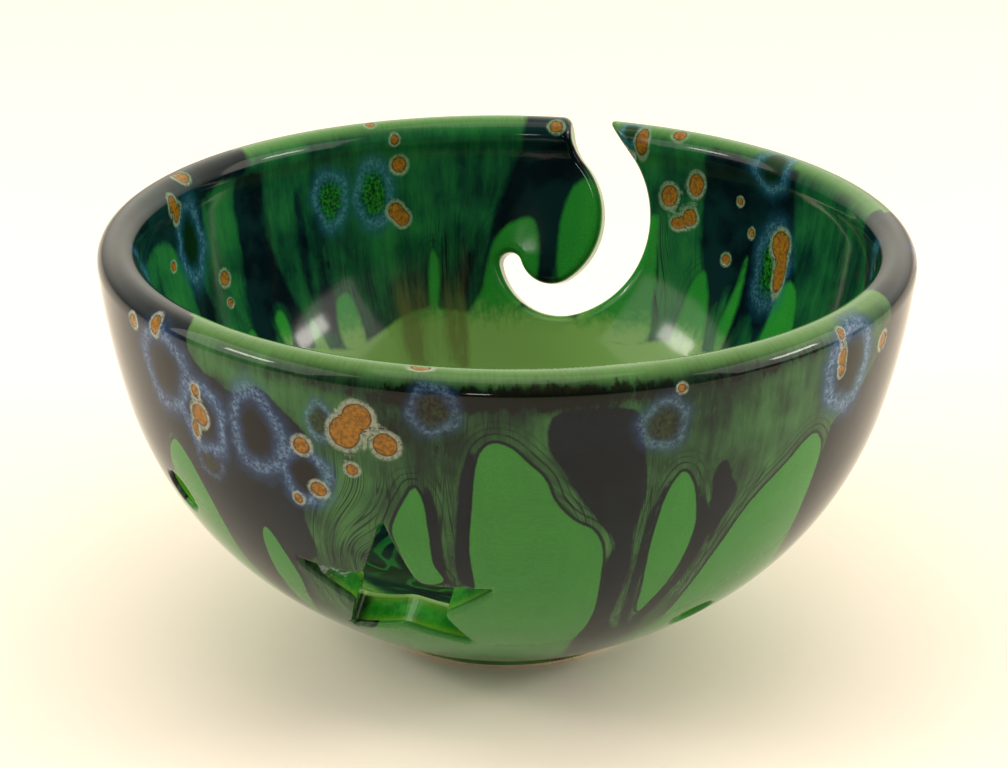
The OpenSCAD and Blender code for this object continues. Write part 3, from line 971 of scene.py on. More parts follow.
CRYSTALS_INSIDE = [
    (212.5, 11.5, 1.6, 1.7), (213.3, 5.5, 0.9, 1.1), (213.6, 21.8, 1.7, 1.8), (212.4, 23.6, 1.6, 1.6),
    (158, 12.7, 1.8, 2.4), (163, 16.3, 1.9, 2.3), (158.5, 20.2, 1.6, 1.9), (160.8, 22, 1.5, 1.3),
    (149.6, 27.2, 1, 1.1), (148.5, 14, 0.7, 0.8), (145, 20, 0.7, 0.9), (162.3, 2, 1.5, 1.4),
    (168.8, 5, 1.4, 3.2), (137.6, 20.2, 2.6, 3), (136.5, 26, 1.6, 4.2), (184.5, 3.2, 1.4, 1.4),
    (252.5, 27, 1.4, 1.5), (252.5, 32.5, 0.8, 0.8), (258.7, 1.6, 1.8, 1.8), (263.3, 8.7, 1.3, 1.9),
    (265.3, 5.8, 1.5, 1.8), (267, 18.6, 1, 0.9), (217, 1, 1, 0.9), (-68, 11, 1.6, 2), (-24, 14, 2, 2.4),
    (-20, 19, 1.2, 1.3), (6, 8, 1.4, 1.2), (31, 12, 1.6, 1.8), (50, 15, 1.3, 1.6), (70, 10, 1.8, 1.6),
    (73, 14, 1.4, 1.8), (100, 10, 1.7, 2), (283, 17, 1.4, 1.6),
]
# Soft patches: azimuth, drop, half width and half height in mm, and strength.
# The coat is darker where it is thick, and paler where the strength is below zero.
SHADES_OUTSIDE = [
    (-16, 6, 13, 1.8, 0.75), (4, 6.3, 16, 2.4, 1.1), (22, 5.8, 18, 2.8, 1.3), (44, 5.4, 16, 2, 0.8),
    (56, 5, 9, 1.3, 0.5), (5, 14, 8, 9, 0.45), (-26, 11, 3.4, 2.2, 1.2), (-1, 12, 5, 5, 0.6),
    (49, 14, 14, 8, 0.12), (-23, 8.5, 9, 4, -1.2), (-11, 27, 5, 8, -0.7), (43, 19, 5, 6, 0.1),
    (-17, 12, 7, 7, -0.3), (121, 6, 14, 2.4, 0.9), (150, 6, 16, 2.6, 1), (196, 6, 18, 2.4, 1),
    (236, 6, 16, 2.6, 0.9), (192, 16, 8, 8, 0.4), (148, 12, 8, 8, -0.4), (238, 14, 8, 8, -0.4),
]
SHADES_INSIDE = [
    (222, 34, 4, 12, 0.3), (229, 28, 3.4, 16, 0.7), (203, 30, 5, 14, 0.2), (249, 18, 5, 14, -0.5),
    (269, 30, 6, 16, -1.3),
    (195, 3, 12, 3, -1), (240, 2.5, 20, 3, -0.8), (165, 3, 10, 3, -0.7), (124, 20, 9, 18, -0.1),
    (114, 16, 4, 14, 0.7), (176, 10, 5, 10, -0.5), (210, 12, 8, 8, -0.4), (161, 36, 6, 13, -1.6),
    (186, 2.5, 5, 2, 1.3), (216, 24, 14, 14, -0.3),
    (30, 20, 8, 16, 0.6), (-30, 20, 10, 16, -0.4), (64, 14, 8, 12, 0.5), (-56, 12, 8, 12, -0.4),
]
# Where thin dark lines run down through the coat
LINES_OUTSIDE = [
    (-9, 35, 10, 15, 1.2), (24, 28, 6, 12, 1), (31, 34, 3, 24, 0.9), (48, 32, 6, 10, 0.7),
    (43, 48, 3.5, 16, 0.8), (1, 38, 5, 18, 0.7), (5.5, 38, 3, 18, 0.8), (10, 10, 12, 6, 0.5),
    (105, 40, 5, 24, 0.9), (126, 40, 5, 24, 0.9), (141, 36, 5, 24, 0.8), (187, 40, 5, 24, 0.9),
    (231, 36, 5, 24, 0.9), (200, 12, 20, 8, 0.4), (170, 10, 20, 8, 0.4),
]
LINES_INSIDE = [
    (204, 38, 6, 16, 0.8), (213, 46, 5, 12, 0.7), (152, 34, 8, 16, 0.6), (164, 34, 4, 16, 0.8),
    (224, 40, 8, 14, 0.6), (-30, 40, 12, 16, 0.6), (30, 40, 12, 16, 0.6), (90, 36, 12, 16, 0.6),
]
# Where the coat is brown
BROWN_OUTSIDE = [
    (6, 5.4, 12, 1.5, 0.35), (22, 4.2, 14, 1.2, 0.5), (150, 5, 12, 1.4, 0.8), (200, 5, 12, 1.4, 0.8),
]
BROWN_INSIDE = [
    (212.5, 48, 4.6, 12, 1.3), (204.5, 50, 2, 12, 1), (202, 50, 1.2, 12, 1), (201, 35, 1, 6, 0.5),
    (176, 2, 6, 3, 0.5), (-20, 50, 5, 12, 1), (60, 50, 4, 12, 1),
]
# Where the glaze ran sideways as it went down: azimuth, drops it started and
# stopped at, half width and turn in degrees
DRIFTS_OUTSIDE = [(-9, 23, 46, 7, 8.5), (21, 12, 38, 6, -11), (51, 24, 48, 6, 9), (-28, 44, 70, 8, -5)]
DRIFTS_INSIDE = [(190, 14, 40, 8, -9), (160, 20, 50, 8, 5), (244, 30, 55, 8, 4)]
OUTSIDE = {
    "bright": BRIGHT_OUTSIDE, "navy": NAVY_OUTSIDE, "rings": RINGS_OUTSIDE, "crystals": CRYSTALS_OUTSIDE,
    "shade": SHADES_OUTSIDE, "lines": LINES_OUTSIDE, "brown": BROWN_OUTSIDE, "drifts": DRIFTS_OUTSIDE,
}
INSIDE = {
    "bright": BRIGHT_INSIDE, "navy": NAVY_INSIDE, "rings": RINGS_INSIDE, "crystals": CRYSTALS_INSIDE,
    "shade": SHADES_INSIDE, "lines": LINES_INSIDE, "brown": BROWN_INSIDE, "drifts": DRIFTS_INSIDE,
}
# How far from an outline or crystal its field reaches, in mm
FAR = 9.0
# Inside, the glaze is bright from about this drop on, and dark within about
# this radius of the floor's middle
POOL_DROP = 47
MIDDLE_R = 34
MIDDLE_SLOPE = 0.3
# The shader's noise lies on a cylinder of this radius, which closes up where
# the bowl is narrower than the second radius
FLOW_R = 80
FLOW_CLOSES_R = 58


def smooth_outline(points, parts=5):
    """A closed curve through the points."""
    p = np.array(points, float)
    a, b, c, d = (np.roll(p, shift, axis=0) for shift in (1, 0, -1, -2))
    out = []
    for t in np.arange(parts) / parts:
        out.append(0.5 * (2 * b + (c - a) * t + (2 * a - 5 * b + 4 * c - d) * t ** 2
                          + (3 * b - a - 3 * c + d) * t ** 3))
    return np.stack(out, 1).reshape(-1, 2)


def beside(az_deg, middle):
    """Azimuth from a feature's own, between -180 and 180 degrees."""
    return (az_deg - middle + 180) % 360 - 180


def from_middle(where, middle, level):
    """Distances in mm from a feature's middle, round the bowl and down the wall."""
    az_deg, drop, radius = where
    return np.radians(beside(az_deg, middle)) * radius, drop - level


def region_field(where, outlines):
    """Signed distance in mm to the nearest outline, above zero inside."""
    az_deg, drop, radius = where
    field = np.full(len(az_deg), -FAR)
    scale = np.radians(radius)
    margin_deg = FAR / np.maximum(scale, 0.2)
    for points in outlines:
        outline = smooth_outline(points)
        middle = outline[:, 0].mean()
        outline[:, 0] -= middle
        x = beside(az_deg, middle)
        near = (x > outline[:, 0].min() - margin_deg) & (x < outline[:, 0].max() + margin_deg)
        near &= (drop > outline[:, 1].min() - FAR) & (drop < outline[:, 1].max() + FAR)
        at = np.where(near)[0]
        px, py, k = x[at], drop[at], scale[at]
        best = np.full(len(at), 1e9)
        for (x0, y0), (x1, y1) in zip(outline, np.roll(outline, -1, axis=0)):
            ax, ay = (x0 - px) * k, y0 - py
            bx, by = (x1 - x0) * k, y1 - y0
            t = np.clip(-(ax * bx + ay * by) / np.maximum(bx * bx + by * by, 1e-12), 0, 1)
            best = np.minimum(best, (ax + bx * t) ** 2 + (ay + by * t) ** 2)
        signed = np.sqrt(best) * np.where(inside_outline(px, py, outline), 1, -1)
        field[at] = np.maximum(field[at], signed)
    return np.clip(field, -FAR, FAR)


def ring_field(where, rings):
    """How far out each point is in the nearest ring (1 on its outer edge), and that ring's strength."""
    out = np.full(len(where[0]), 3.0)
    strength = np.zeros(len(out))
    for middle, level, half_w, half_h, power in rings:
        x, y = from_middle(where, middle, level)
        turn = np.arctan2(y, x)
        uneven = 1 + 0.05 * np.sin(3 * turn + middle) + 0.04 * np.sin(5 * turn + level)
        reach = np.hypot(x / half_w, y / half_h) * uneven
        closer = reach < out
        out[closer] = reach[closer]
        strength[closer] = power
    return out, strength


def crystal_fields(where, crystals):
    """How far each point is inside the nearest crystal, and where it is from that crystal's middle.

    The place is in half widths and half heights, and its third part is the crystal's size.
    """
    nearest = np.full(len(where[0]), -FAR)
    place = np.full((len(nearest), 3), FAR)
    for middle, level, half_w, half_h in crystals:
        x, y = from_middle(where, middle, level)
        size = (half_w * half_h) ** 0.25
        inside = (1 - np.hypot(x / half_w, y / half_h)) * size
        closer = inside > nearest
        nearest[closer] = inside[closer]
        place[closer] = np.stack([x / half_w, y / half_h, np.full(len(x), size)], 1)[closer]
    return nearest, place


def patch_field(where, patches):
    """The sum of soft patches at each point."""
    total = np.zeros(len(where[0]))
    for middle, level, half_w, half_h, power in patches:
        x, y = from_middle(where, middle, level)
        total += power * np.exp(-(x / half_w) ** 2 - (y / half_h) ** 2)
    return total


def drifted(az_deg, drop, drifts):
    """The azimuth that each bit of glaze started from, before it ran."""
    start = az_deg.copy()
    for middle, first, last, half_w, turn in drifts:
        down = np.clip((drop - first) / (last - first), 0, 1)
        down = down * down * (3 - 2 * down)
        start += turn * down * np.exp(-(beside(az_deg, middle) / half_w) ** 2)
    return np.radians(start)


def glaze_fields(az, s, outside):
    """The numbers on each point that the glaze's shader turns into colours."""
    pattern = OUTSIDE if outside else INSIDE
    drop = S_TOP - s if outside else s - S_TOP
    az_deg = np.degrees(az)
    radius = np.maximum(ring_of(s)[0], 0.5)
    where = (az_deg, drop, radius)
    bright = region_field(where, pattern["bright"])
    navy = region_field(where, pattern["navy"])
    if not outside:
        wavy = 2.5 * np.sin(np.radians(az_deg * 5)) + 1.5 * np.sin(np.radians(az_deg * 13 + 40))
        bright = np.maximum(bright, np.clip(drop - POOL_DROP - wavy, -FAR, FAR))
        edge = MIDDLE_R + 5 * np.cos(az + 1) + 4 * np.sin(2 * az + 1) + 2.5 * np.sin(3 * az)
        middle = np.clip(MIDDLE_SLOPE * (edge - radius), -FAR, FAR)
        bright = np.minimum(bright, -middle)
        navy = np.maximum(navy, middle)
    ring, strength = ring_field(where, pattern["rings"])
    crystal, crystal_place = crystal_fields(where, pattern["crystals"])
    reach = FLOW_R * np.minimum(1, radius / FLOW_CLOSES_R)
    start = drifted(az_deg, drop, pattern["drifts"])
    return {
        "bright": bright,
        "navy": navy,
        "ring": ring,
        "ring_power": strength,
        "crystal": crystal,
        "crystal_place": crystal_place,
        "shade": patch_field(where, pattern["shade"]),
        "lines": patch_field(where, pattern["lines"]),
        "brown": patch_field(where, pattern["brown"]),
        "flow": place_at(start, reach, drop),
    }


# ---------------------------------------------------------------- materials

def srgb(r, g, b):
    """A linear colour from 0 to 255 screen values."""
    linear = [c / 255 / 12.92 if c <= 10 else ((c / 255 + 0.055) / 1.055) ** 2.4 for c in (r, g, b)]
    return (*linear, 1)


class Graph:
    """Short calls for building the nodes of a material or of the world."""

    def __init__(self, owner, shader="Principled BSDF"):
        owner.use_nodes = True
        self.owner = owner
        self.tree = owner.node_tree
        self.shader = self.tree.nodes[shader].inputs

    def node(self, kind, output=0, inputs=(), **settings):
        """A new node's output. Its inputs are given by name or number, as values or as other outputs."""
        node = self.tree.nodes.new("ShaderNode" + kind)
        for key, value in settings.items():
            setattr(node, key, value)
        for key, value in dict(inputs).items():
            self.put(node.inputs[key], value)
        return node.outputs[output]

    def put(self, socket, value):
        if hasattr(value, "links"):
            self.tree.links.new(value, socket)
        else:
            socket.default_value = value

    def math(self, operation, *values):
        return self.node("Math", inputs=enumerate(values), operation=operation)

    def minus(self, a, b):
        return self.math("SUBTRACT", a, b)

    def times(self, a, b):
        return self.math("MULTIPLY", a, b)

    def plus(self, a, b, share=1):
        """a + b * share"""
        return self.math("ADD", a, b if share == 1 else self.times(b, share))

    def off(self, value, level):
        """How far a value is from a level."""
        return self.math("ABSOLUTE", self.minus(value, level))

    def length(self, vector):
        return self.node("VectorMath", "Value", {0: vector}, operation="LENGTH")

    def part(self, vector, axis):
        return self.node("SeparateXYZ", axis, {0: vector})

    def field(self, name, output="Fac"):
        return self.node("Attribute", output, attribute_name=name)

    def place(self):
        return self.node("TexCoord", "Object")

    def band(self, value, low, high, to_low=0.0, to_high=1.0):
        """A smooth step from to_low at low to to_high at high."""
        values = enumerate((value, low, high, to_low, to_high))
        return self.node("MapRange", inputs=values, interpolation_type="SMOOTHSTEP")

    def mix(self, share, a, b):
        """Colour a, with a share of colour b over it."""
        return self.node("Mix", 2, {0: share, 6: a, 7: b}, data_type="RGBA")

    def scaled(self, vector, *factors):
        return self.node("VectorMath", inputs={0: vector, 1: factors}, operation="MULTIPLY")

    def noise(self, vector, scale, detail=3.0, rough=0.55, warp=0.0):
        return self.node("TexNoise", "Fac", {
            "Vector": vector, "Scale": scale, "Detail": detail, "Roughness": rough, "Distortion": warp})

    def bump(self, height, distance, **under):
        return self.node("Bump", "Normal", {"Height": height, "Distance": distance, **under})


class Glaze(Graph):
    """Layered glaze: bright green under a dark coat that has run, with blue rings and crystals.

    soft is how wide the edges between the colours are, in mm, outline how strong the
    dark lines along them are, and gloss the roughness of the plain glaze.
    """

    def __init__(self, name, colours, pool, wisps, soft, outline, gloss):
        super().__init__(bpy.data.materials.new(name))
        self.paint = {key: srgb(*value) for key, value in colours.items()}
        self.soft = soft
        self.outline = outline
        flow = self.flow = self.field("flow", "Vector")
        self.drop = self.part(flow, 2)
        self.shade = self.field("shade")
        # Fine noise runs with the glaze: long down the wall, short around it
        self.streak = self.noise(self.scaled(flow, 1, 1, 0.16), 0.32, 5, 0.66)
        self.hair = self.noise(self.scaled(flow, 1, 1, 0.2), 1.9, 3, 0.6)
        self.cloud = self.noise(flow, 0.09, 3, 0.5)
        self.speckle = self.noise(flow, 1.3, 5, 0.7)
        self.ragged = self.minus(self.noise(self.scaled(flow, 1, 1, 0.45), 0.6, 5, 0.65), 0.5)
        self.blot = self.minus(self.noise(flow, 0.45, 3, 0.6), 0.5)
        self.bright = self.plus(self.field("bright"), self.ragged, 0.4 + soft)
        thin = self.plus(self.plus(0.02, self.streak, 0.45), self.cloud, 0.6)
        self.veil = self.plus(thin, self.shade, -0.16)

        self.colour = None
        self.dark_coat()
        self.dark_lines()
        self.dark_patches(wisps)
        self.bright_patches(*pool)
        halo = self.blue_rings()
        blob = self.crystals()
        self.put(self.shader["Base Color"], self.colour)
        self.put(self.shader["Roughness"], self.plus(self.band(blob, -0.4, 0.1, gloss, 0.26), halo, 0.08))
        # Orange peel, and the small relief of the crystals
        peel = self.bump(self.noise(flow, 0.12, 1, 0.5), 0.00004)
        pit = self.bump(self.band(blob, -0.6, 0.4, 1, 0), 0.00014, Normal=peel)
        self.put(self.shader["Normal"], pit)
        self.shader["Specular IOR Level"].default_value = 0.21

    def lay(self, share, paint, strength=1):
        """Puts a colour, by name or as an output, over what is there."""
        share = share if strength == 1 else self.times(share, strength)
        self.colour = self.mix(share, self.colour, self.paint[paint] if isinstance(paint, str) else paint)

    def dark_coat(self):
        """The dark coat, paler where it is thin, with the pale rim and the soot below it."""
        self.colour = self.mix(self.band(self.veil, 0.38, 0.68), self.paint["deep"], self.paint["mid"])
        self.lay(self.band(self.veil, 0.56, 0.86), "light", 0.7)
        self.lay(self.band(self.hair, 0.54, 0.78), "light", 0.22)
        self.lay(self.band(self.hair, 0.44, 0.28), "deep", 0.3)
        self.lay(self.band(self.speckle, 0.4, 0.26), "soot", 0.4)
        rim = self.band(self.drop, 4.6, 1.2)
        self.lay(self.times(rim, self.band(self.hair, 0.3, 0.62, 0.72, 0.92)), "rim")
        self.lay(self.band(self.plus(self.shade, self.ragged, 2.6), 0.55, 1.05), "soot", 0.9)

    def dark_lines(self):
        """Thin dark lines inside the runs, and along their edges."""
        thread = self.noise(self.scaled(self.flow, 1, 1, 0.04), 0.5, 1, 0.4)
        here = self.band(self.field("lines"), 0.1, 0.7)
        for level in (0.42, 0.5, 0.58):
            self.lay(self.times(self.band(self.off(thread, level), 0.018, 0.005), here), "navy", 0.8)
        broken = self.band(self.streak, 0.35, 0.55)
        for level, width, share in ((-1.9, 0.3, 0.8), (-3.1, 0.22, 0.55), (-4.3, 0.2, 0.35)):
            line = self.band(self.off(self.bright, level), width, width * 0.3)
            self.lay(self.times(line, broken), "navy", share * self.outline)

    def dark_patches(self, wisps):
        """Where the dark coat is thickest. Green wisps lie in it on the floor."""
        depth = self.mix(self.band(self.cloud, 0.4, 0.6), self.paint["navy"], self.paint["navy_2"])
        edge = self.plus(self.field("navy"), self.ragged, 1.2 + 2 * self.soft)
        self.lay(self.band(edge, -0.3 - self.soft, 0.3 + self.soft), depth)
        wisp = self.off(self.noise(self.flow, 0.05, 2, 0.5, 0.8), 0.5)
        self.lay(self.times(self.band(wisp, 0.06, 0.015), self.band(self.drop, 80, 86)), "bright_3", wisps)

    def bright_patches(self, pool_from, pool_to):
        """Where the bright green shows, with a dark border, and paler where it pooled."""
        border = self.times(self.band(self.bright, -0.85, -0.5), self.band(self.bright, 0.05, -0.15))
        self.lay(border, "navy", 0.9 * self.outline)
        over = self.colour
        grain = self.noise(self.flow, 2.6, 2, 0.5)
        self.colour = self.mix(self.band(grain, 0.35, 0.7), self.paint["bright"], self.paint["bright_2"])
        self.lay(self.band(self.veil, 0.4, 0.7), "bright_3", 0.4)
        level = self.plus(self.drop, self.blot, 10)
        self.lay(self.times(self.band(level, *pool_from), self.band(level, *pool_to)), "pool")
        share = self.band(self.bright, -0.1 - self.soft, 0.12 + self.soft)
        self.colour = self.mix(share, over, self.colour)
        brown = self.times(self.field("brown"), self.band(self.streak, 0.35, 0.6, 0.55, 1))
        self.lay(self.band(brown, 0.1, 1, 0, 0.7), "brown")

    def blue_rings(self):
        """Blue rings: a wide haze with a pale, speckled line in it, round a dark or green middle."""
        power = self.field("ring_power")
        reach = self.plus(self.field("ring"), self.blot, 0.4)
        green = self.times(self.band(self.speckle, 0.42, 0.62), self.band(power, 0.76, 0.74))
        core = self.mix(green, self.paint["core"], self.paint["core_2"])
        self.lay(self.band(reach, 0.9, 0.6), core, 0.85)
        haze = self.times(self.band(reach, 0.4, 0.95), self.band(reach, 1.6, 0.95))
        self.lay(self.times(haze, power), "haze", 0.75)
        line = self.times(self.band(self.off(reach, 0.97), 0.3, 0), power)
        halo = self.times(line, self.band(self.speckle, 0.38, 0.72, 0, 0.85))
        self.lay(halo, "ring")
        return halo

    def crystals(self):
        """Crystals: a pale ring round a rust-coloured middle."""
        place = self.field("crystal_place", "Vector")
        inside = self.times(self.minus(1, self.length(self.scaled(place, 1, 1, 0))), self.part(place, 2))
        crystal = self.math("MINIMUM", inside, self.plus(self.field("crystal"), 0.25))
        blob = self.plus(self.plus(crystal, self.blot, 0.5), self.minus(self.speckle, 0.5), 0.3)
        spotty = self.band(self.speckle, 0.36, 0.56, 0.3, 0.9)
        self.lay(self.times(self.band(blob, -0.85, -0.35), spotty), "pale")
        rust = self.mix(self.band(self.speckle, 0.38, 0.6), self.paint["rust_2"], self.paint["rust"])
        rust = self.mix(self.times(self.band(self.hair, 0.4, 0.25), 0.5), rust, self.paint["rust_dark"])
        self.lay(self.band(blob, -0.08, 0), rust)
        self.lay(self.times(self.band(blob, -0.12, -0.02), self.band(blob, 0.2, 0.06)), "rust_dark", 0.7)
        return blob


OUTSIDE_COLOURS = {
    "deep": (16, 40, 26), "mid": (50, 94, 52), "light": (72, 120, 62), "rim": (84, 124, 62),
    "brown": (50, 42, 20), "soot": (6, 10, 6), "navy": (2, 13, 20), "navy_2": (7, 20, 28),
    "bright": (50, 118, 46), "bright_2": (56, 126, 52), "bright_3": (44, 106, 44), "pool": (62, 122, 56),
    "ring": (120, 148, 176), "haze": (42, 68, 108), "core": (20, 20, 16), "core_2": (46, 56, 30),
    "pale": (142, 150, 134), "rust": (146, 102, 26), "rust_2": (108, 72, 22), "rust_dark": (48, 30, 16),
}
INSIDE_COLOURS = OUTSIDE_COLOURS | {
    "deep": (6, 42, 36), "mid": (24, 92, 50), "light": (42, 120, 52), "rim": (82, 130, 62),
    "brown": (92, 98, 50), "soot": (4, 24, 24), "navy": (3, 16, 22), "navy_2": (8, 36, 38),
    "bright": (36, 132, 42), "bright_2": (46, 144, 50), "bright_3": (26, 108, 44), "pool": (120, 164, 84),
    "ring": (84, 142, 156), "haze": (26, 80, 104), "core": (6, 34, 12), "core_2": (34, 128, 26),
    "pale": (116, 142, 110),
}


def outside_glaze(name):
    pool = (88, 100), (120, 110)
    return Glaze(name, OUTSIDE_COLOURS, pool, wisps=0, soft=0.06, outline=1, gloss=0.06).owner


def inside_glaze(name):
    pool = (42, 50), (92, 78)
    return Glaze(name, INSIDE_COLOURS, pool, wisps=0.8, soft=0.6, outline=0.3, gloss=0.1).owner


def cut_glaze(name):
    """Glaze on a cut edge: thin and yellow-green on the corners, darker where it pooled, and painted shade
    on the star's left arm.
    """
    g = Graph(bpy.data.materials.new(name))
    cloud = g.noise(g.place(), 260, 3, 0.6)
    fine = g.noise(g.place(), 1400, 3, 0.6)
    colour = g.mix(g.band(cloud, 0.35, 0.65), srgb(24, 112, 30), srgb(48, 150, 36))
    corner = g.band(g.off(g.field("depth"), 0.5), 0.2, 0.5)
    colour = g.mix(g.times(corner, 0.55), colour, srgb(110, 158, 40))
    colour = g.mix(g.times(g.band(fine, 0.55, 0.75), 0.25), colour, srgb(10, 50, 20))
    # Painted shade: the star's left arm, whose cut face lies in shadow, is painted near black
    colour = g.mix(g.times(g.field("dark"), g.band(cloud, 0.3, 0.6, 1, 0.8)), colour, srgb(16, 22, 14))
    g.put(g.shader["Base Color"], colour)
    g.put(g.shader["Roughness"], g.band(fine, 0.3, 0.8, 0.05, 0.12))
    g.put(g.shader["Normal"], g.bump(cloud, 0.00006))
    g.shader["IOR"].default_value = 1.52
    return g.owner


def bare_clay(name):
    """Fired buff clay with fine grog and faint turning marks."""
    g = Graph(bpy.data.materials.new(name))
    cloud = g.noise(g.place(), 90, 4, 0.6)
    grog = g.noise(g.place(), 2600, 2, 0.5)
    colour = g.mix(g.band(cloud, 0.3, 0.7), srgb(206, 186, 150), srgb(226, 210, 178))
    colour = g.mix(g.times(g.band(grog, 0.6, 0.75), 0.5), colour, srgb(150, 118, 84))
    g.put(g.shader["Base Color"], colour)
    g.put(g.shader["Roughness"], g.band(grog, 0.3, 0.7, 0.62, 0.8))
    g.put(g.shader["Normal"], g.bump(grog, 0.00008))
    return g.owner


# ---------------------------------------------------------------- assembly

# A coat laid out flat, in a square of side 1: radius of its outer edge, of the
# hole in the outside's ring, and scale and middle of the hidden side
FLAT_REACH = 0.48
OUTSIDE_FROM = 0.12
HIDDEN_SHARE = 0.15
HIDDEN_MIDDLE = 0.085


def spread_coat(obj, az, s, is_back, outside):
    """Lays the coat out flat as a disc or ring for baking, and its hidden side small in a corner."""
    if outside:
        reach = OUTSIDE_FROM + (FLAT_REACH - OUTSIDE_FROM) * s / S_TOP
    else:
        reach = FLAT_REACH * (S_END - s) / (S_END - S_TOP)
    layer = obj.data.uv_layers.new(name="OFBake")
    corner = np.empty(len(obj.data.loops), np.int32)
    obj.data.loops.foreach_get("vertex_index", corner)
    hidden = is_back[corner].reshape(-1, 3).min(1).repeat(3) > 0.5
    size = np.where(hidden, HIDDEN_SHARE, 1) * reach[corner]
    middle = np.where(hidden, HIDDEN_MIDDLE, 0.5)
    uv = np.stack([middle + size * np.sin(az[corner]), middle - size * np.cos(az[corner])], 1)
    layer.data.foreach_set("uv", uv.astype(np.float32).ravel())


def finish_piece(obj, node, slot_name, material):
    obj.data.materials.append(material)
    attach(obj, "root")
    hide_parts(node)


for node, material in (("outside_glaze", outside_glaze), ("inside_glaze", inside_glaze)):
    points, faces, normals, az, s, is_back = coats[node]
    outside = node == "outside_glaze"
    obj = make_object(node + "_coat", points, faces, normals, glaze_fields(az, s, outside))
    spread_coat(obj, az, s, is_back, outside)
    finish_piece(obj, node, node, material(node + "_coat"))

# The star's left arm, from this azimuth on, has its cut edge painted near black: painted shade, as the
# arm's cut face lies in shadow where the coat round it is navy.
ARM_SHADE_AZIMUTH = -14
ARM_SHADE_FADE = 3
for node, (points, normals, faces, depth) in lining_coats.items():
    label = node + "_edge"
    side = np.degrees(np.arctan2(points[:, 0], -points[:, 1]))
    # Painted shade: near black on the star's left arm, where its cut face lies in shadow
    dark = np.clip((ARM_SHADE_AZIMUTH - side) / ARM_SHADE_FADE, 0, 1) * (node == "star_glaze")
    obj = make_object(label, points, faces, normals, {"depth": depth, "dark": dark})
    finish_piece(obj, node, "cut_edge_glaze", cut_glaze(label))
finish_piece(make_object("clay_wall_and_floor", *body), "clay_bowl", "fired_clay", bare_clay("bare_clay"))

# The foot ring, turned: its corners are broken and its faces carry fine rings
FOOT_W = 5.5
FOOT_CORNER = 0.5
FOOT_SIDES = 240
FOOT_RINGS = 24
SIDE_Z = 1.2
FOOT_TOP_Z = 2.1


def foot_profile():
    """The foot ring's outline, from its inner side over its sole to its outer side and back on top."""
    outer = FOOT_R - COAT
    inner = outer - FOOT_W
    sole = []
    for k in range(1, FOOT_RINGS):
        swell = 0.02 * (1 - math.cos(2 * math.pi * k / FOOT_RINGS))
        turned = 0.012 * (1 + math.sin(k * 2.1)) * math.sin(math.pi * k / FOOT_RINGS)
        sole.append((inner + FOOT_CORNER + (FOOT_W - 2 * FOOT_CORNER) * k / FOOT_RINGS, swell + turned))
    return np.array(
        arc((inner + FOOT_CORNER, FOOT_CORNER), FOOT_CORNER, -180, -270, 8)
        + sole
        + arc((outer - FOOT_CORNER, FOOT_CORNER), FOOT_CORNER, -270, -360, 8)
        + [(outer, SIDE_Z), (outer, FOOT_TOP_Z), (inner, FOOT_TOP_Z), (inner, SIDE_Z)])


foot_r, foot_z = foot_profile().T
turn = np.arange(FOOT_SIDES)[:, None] * 2 * math.pi / FOOT_SIDES
foot_points = place_at(turn, foot_r, foot_z).reshape(-1, 3)
a, b, c, d = cells(FOOT_SIDES, len(foot_r))
foot_faces = np.stack([a, d, c, b], 1) % len(foot_points)
foot = make_object("foot_ring_turned", foot_points, foot_faces)
finish_piece(foot, "foot_ring", "fired_clay", bare_clay("foot_clay"))

# ---------------------------------------------------------------- studio

FLOOR_R = 3.0
FLOOR_SIDES = 96


def make_floor():
    mesh = bpy.data.meshes.new("floor")
    turns = [2 * math.pi * i / FLOOR_SIDES for i in range(FLOOR_SIDES)]
    verts = [(FLOOR_R * math.cos(turn), FLOOR_R * math.sin(turn), 0) for turn in turns]
    mesh.from_pydata(verts, [], [list(range(FLOOR_SIDES))])
    floor = bpy.data.objects.new("floor", mesh)
    bpy.context.scene.collection.objects.link(floor)
    g = Graph(bpy.data.materials.new("floor_paper"))
    cloud = g.noise(g.place(), 3, 2, 0.5)
    g.put(g.shader["Base Color"], g.mix(cloud, srgb(250, 238, 225), srgb(253, 242, 229)))
    g.shader["Roughness"].default_value = 0.6
    floor.data.materials.append(g.owner)


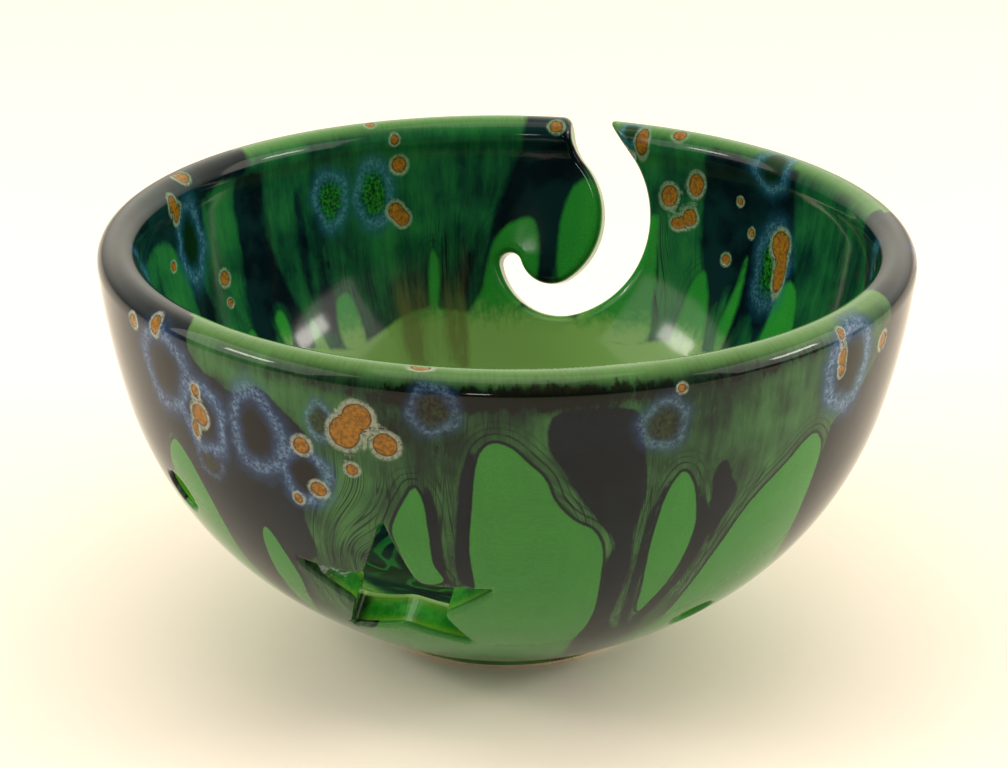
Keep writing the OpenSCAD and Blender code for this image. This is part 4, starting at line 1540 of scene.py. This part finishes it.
def make_world():
    """A pale room, darker on the camera's side and brightest behind and above the bowl."""
    world = bpy.data.worlds.new("studio")
    bpy.context.scene.world = world
    g = Graph(world, "Background")
    where = g.node("TexCoord", "Generated")
    ahead = g.math("MULTIPLY_ADD", g.part(where, "Y"), 0.5, 0.5)
    grey = g.node("ValToRGB", "Color", {"Fac": ahead})
    stops = grey.node.color_ramp.elements
    for stop, (position, level) in zip(stops, ((0.04, 0.02), (0.9, 1))):
        stop.position = position
        stop.color = (level, level, level, 1)
    for position, level in ((0.28, 0.2), (0.68, 0.55)):
        stops.new(position).color = (level, level, level, 1)
    height = {"Value": g.part(where, "Z"), "From Min": 0.02, "From Max": 0.3, "To Min": 0.75, "To Max": 1.9}
    g.put(g.shader["Strength"], g.times(grey, g.node("MapRange", 0, height)))
    g.shader["Color"].default_value = srgb(255, 247, 228)


def round_bowl(azimuth, elevation, distance):
    """A place in the room, by its direction and distance from the foot of the bowl."""
    e = math.radians(elevation)
    return place_at(math.radians(azimuth), distance * math.cos(e), distance * math.sin(e))


WARM = (1, 0.95, 0.88)
BOWL_MIDDLE = (0, 0, 0.05)


def area_light(name, place, size, power, target=BOWL_MIDDLE):
    data = bpy.data.lights.new(name, "AREA")
    data.energy = power
    data.color = WARM
    data.shape = "RECTANGLE"
    data.size, data.size_y = size
    light = bpy.data.objects.new(name, data)
    light.location = place
    light.rotation_mode = "QUATERNION"
    light.rotation_quaternion = (Vector(target) - Vector(place)).to_track_quat("-Z", "Y")
    bpy.context.scene.collection.objects.link(light)


make_floor()
make_world()
area_light("roof", (0, 1.1, 1.9), (3.2, 3.2), 6, target=(0, 0.7, 0))
area_light("top", (0, -0.15, 1.1), (0.7, 0.7), 2.4, target=(0, -0.05, 0))
for name, azimuth, elevation in (("left", -62, 33), ("right", 96, 27)):
    area_light(name + "_panel", round_bowl(azimuth, elevation, 1), (0.85, 0.6), 4.4)
    area_light(name + "_lamp", round_bowl(azimuth, elevation, 0.98), (0.24, 0.09), 1.6)
area_light("front", round_bowl(6, 14, 1.2), (0.12, 0.05), 0.5)
bpy.context.scene.view_settings.view_transform = "Standard"
bpy.context.scene.view_settings.look = "None"
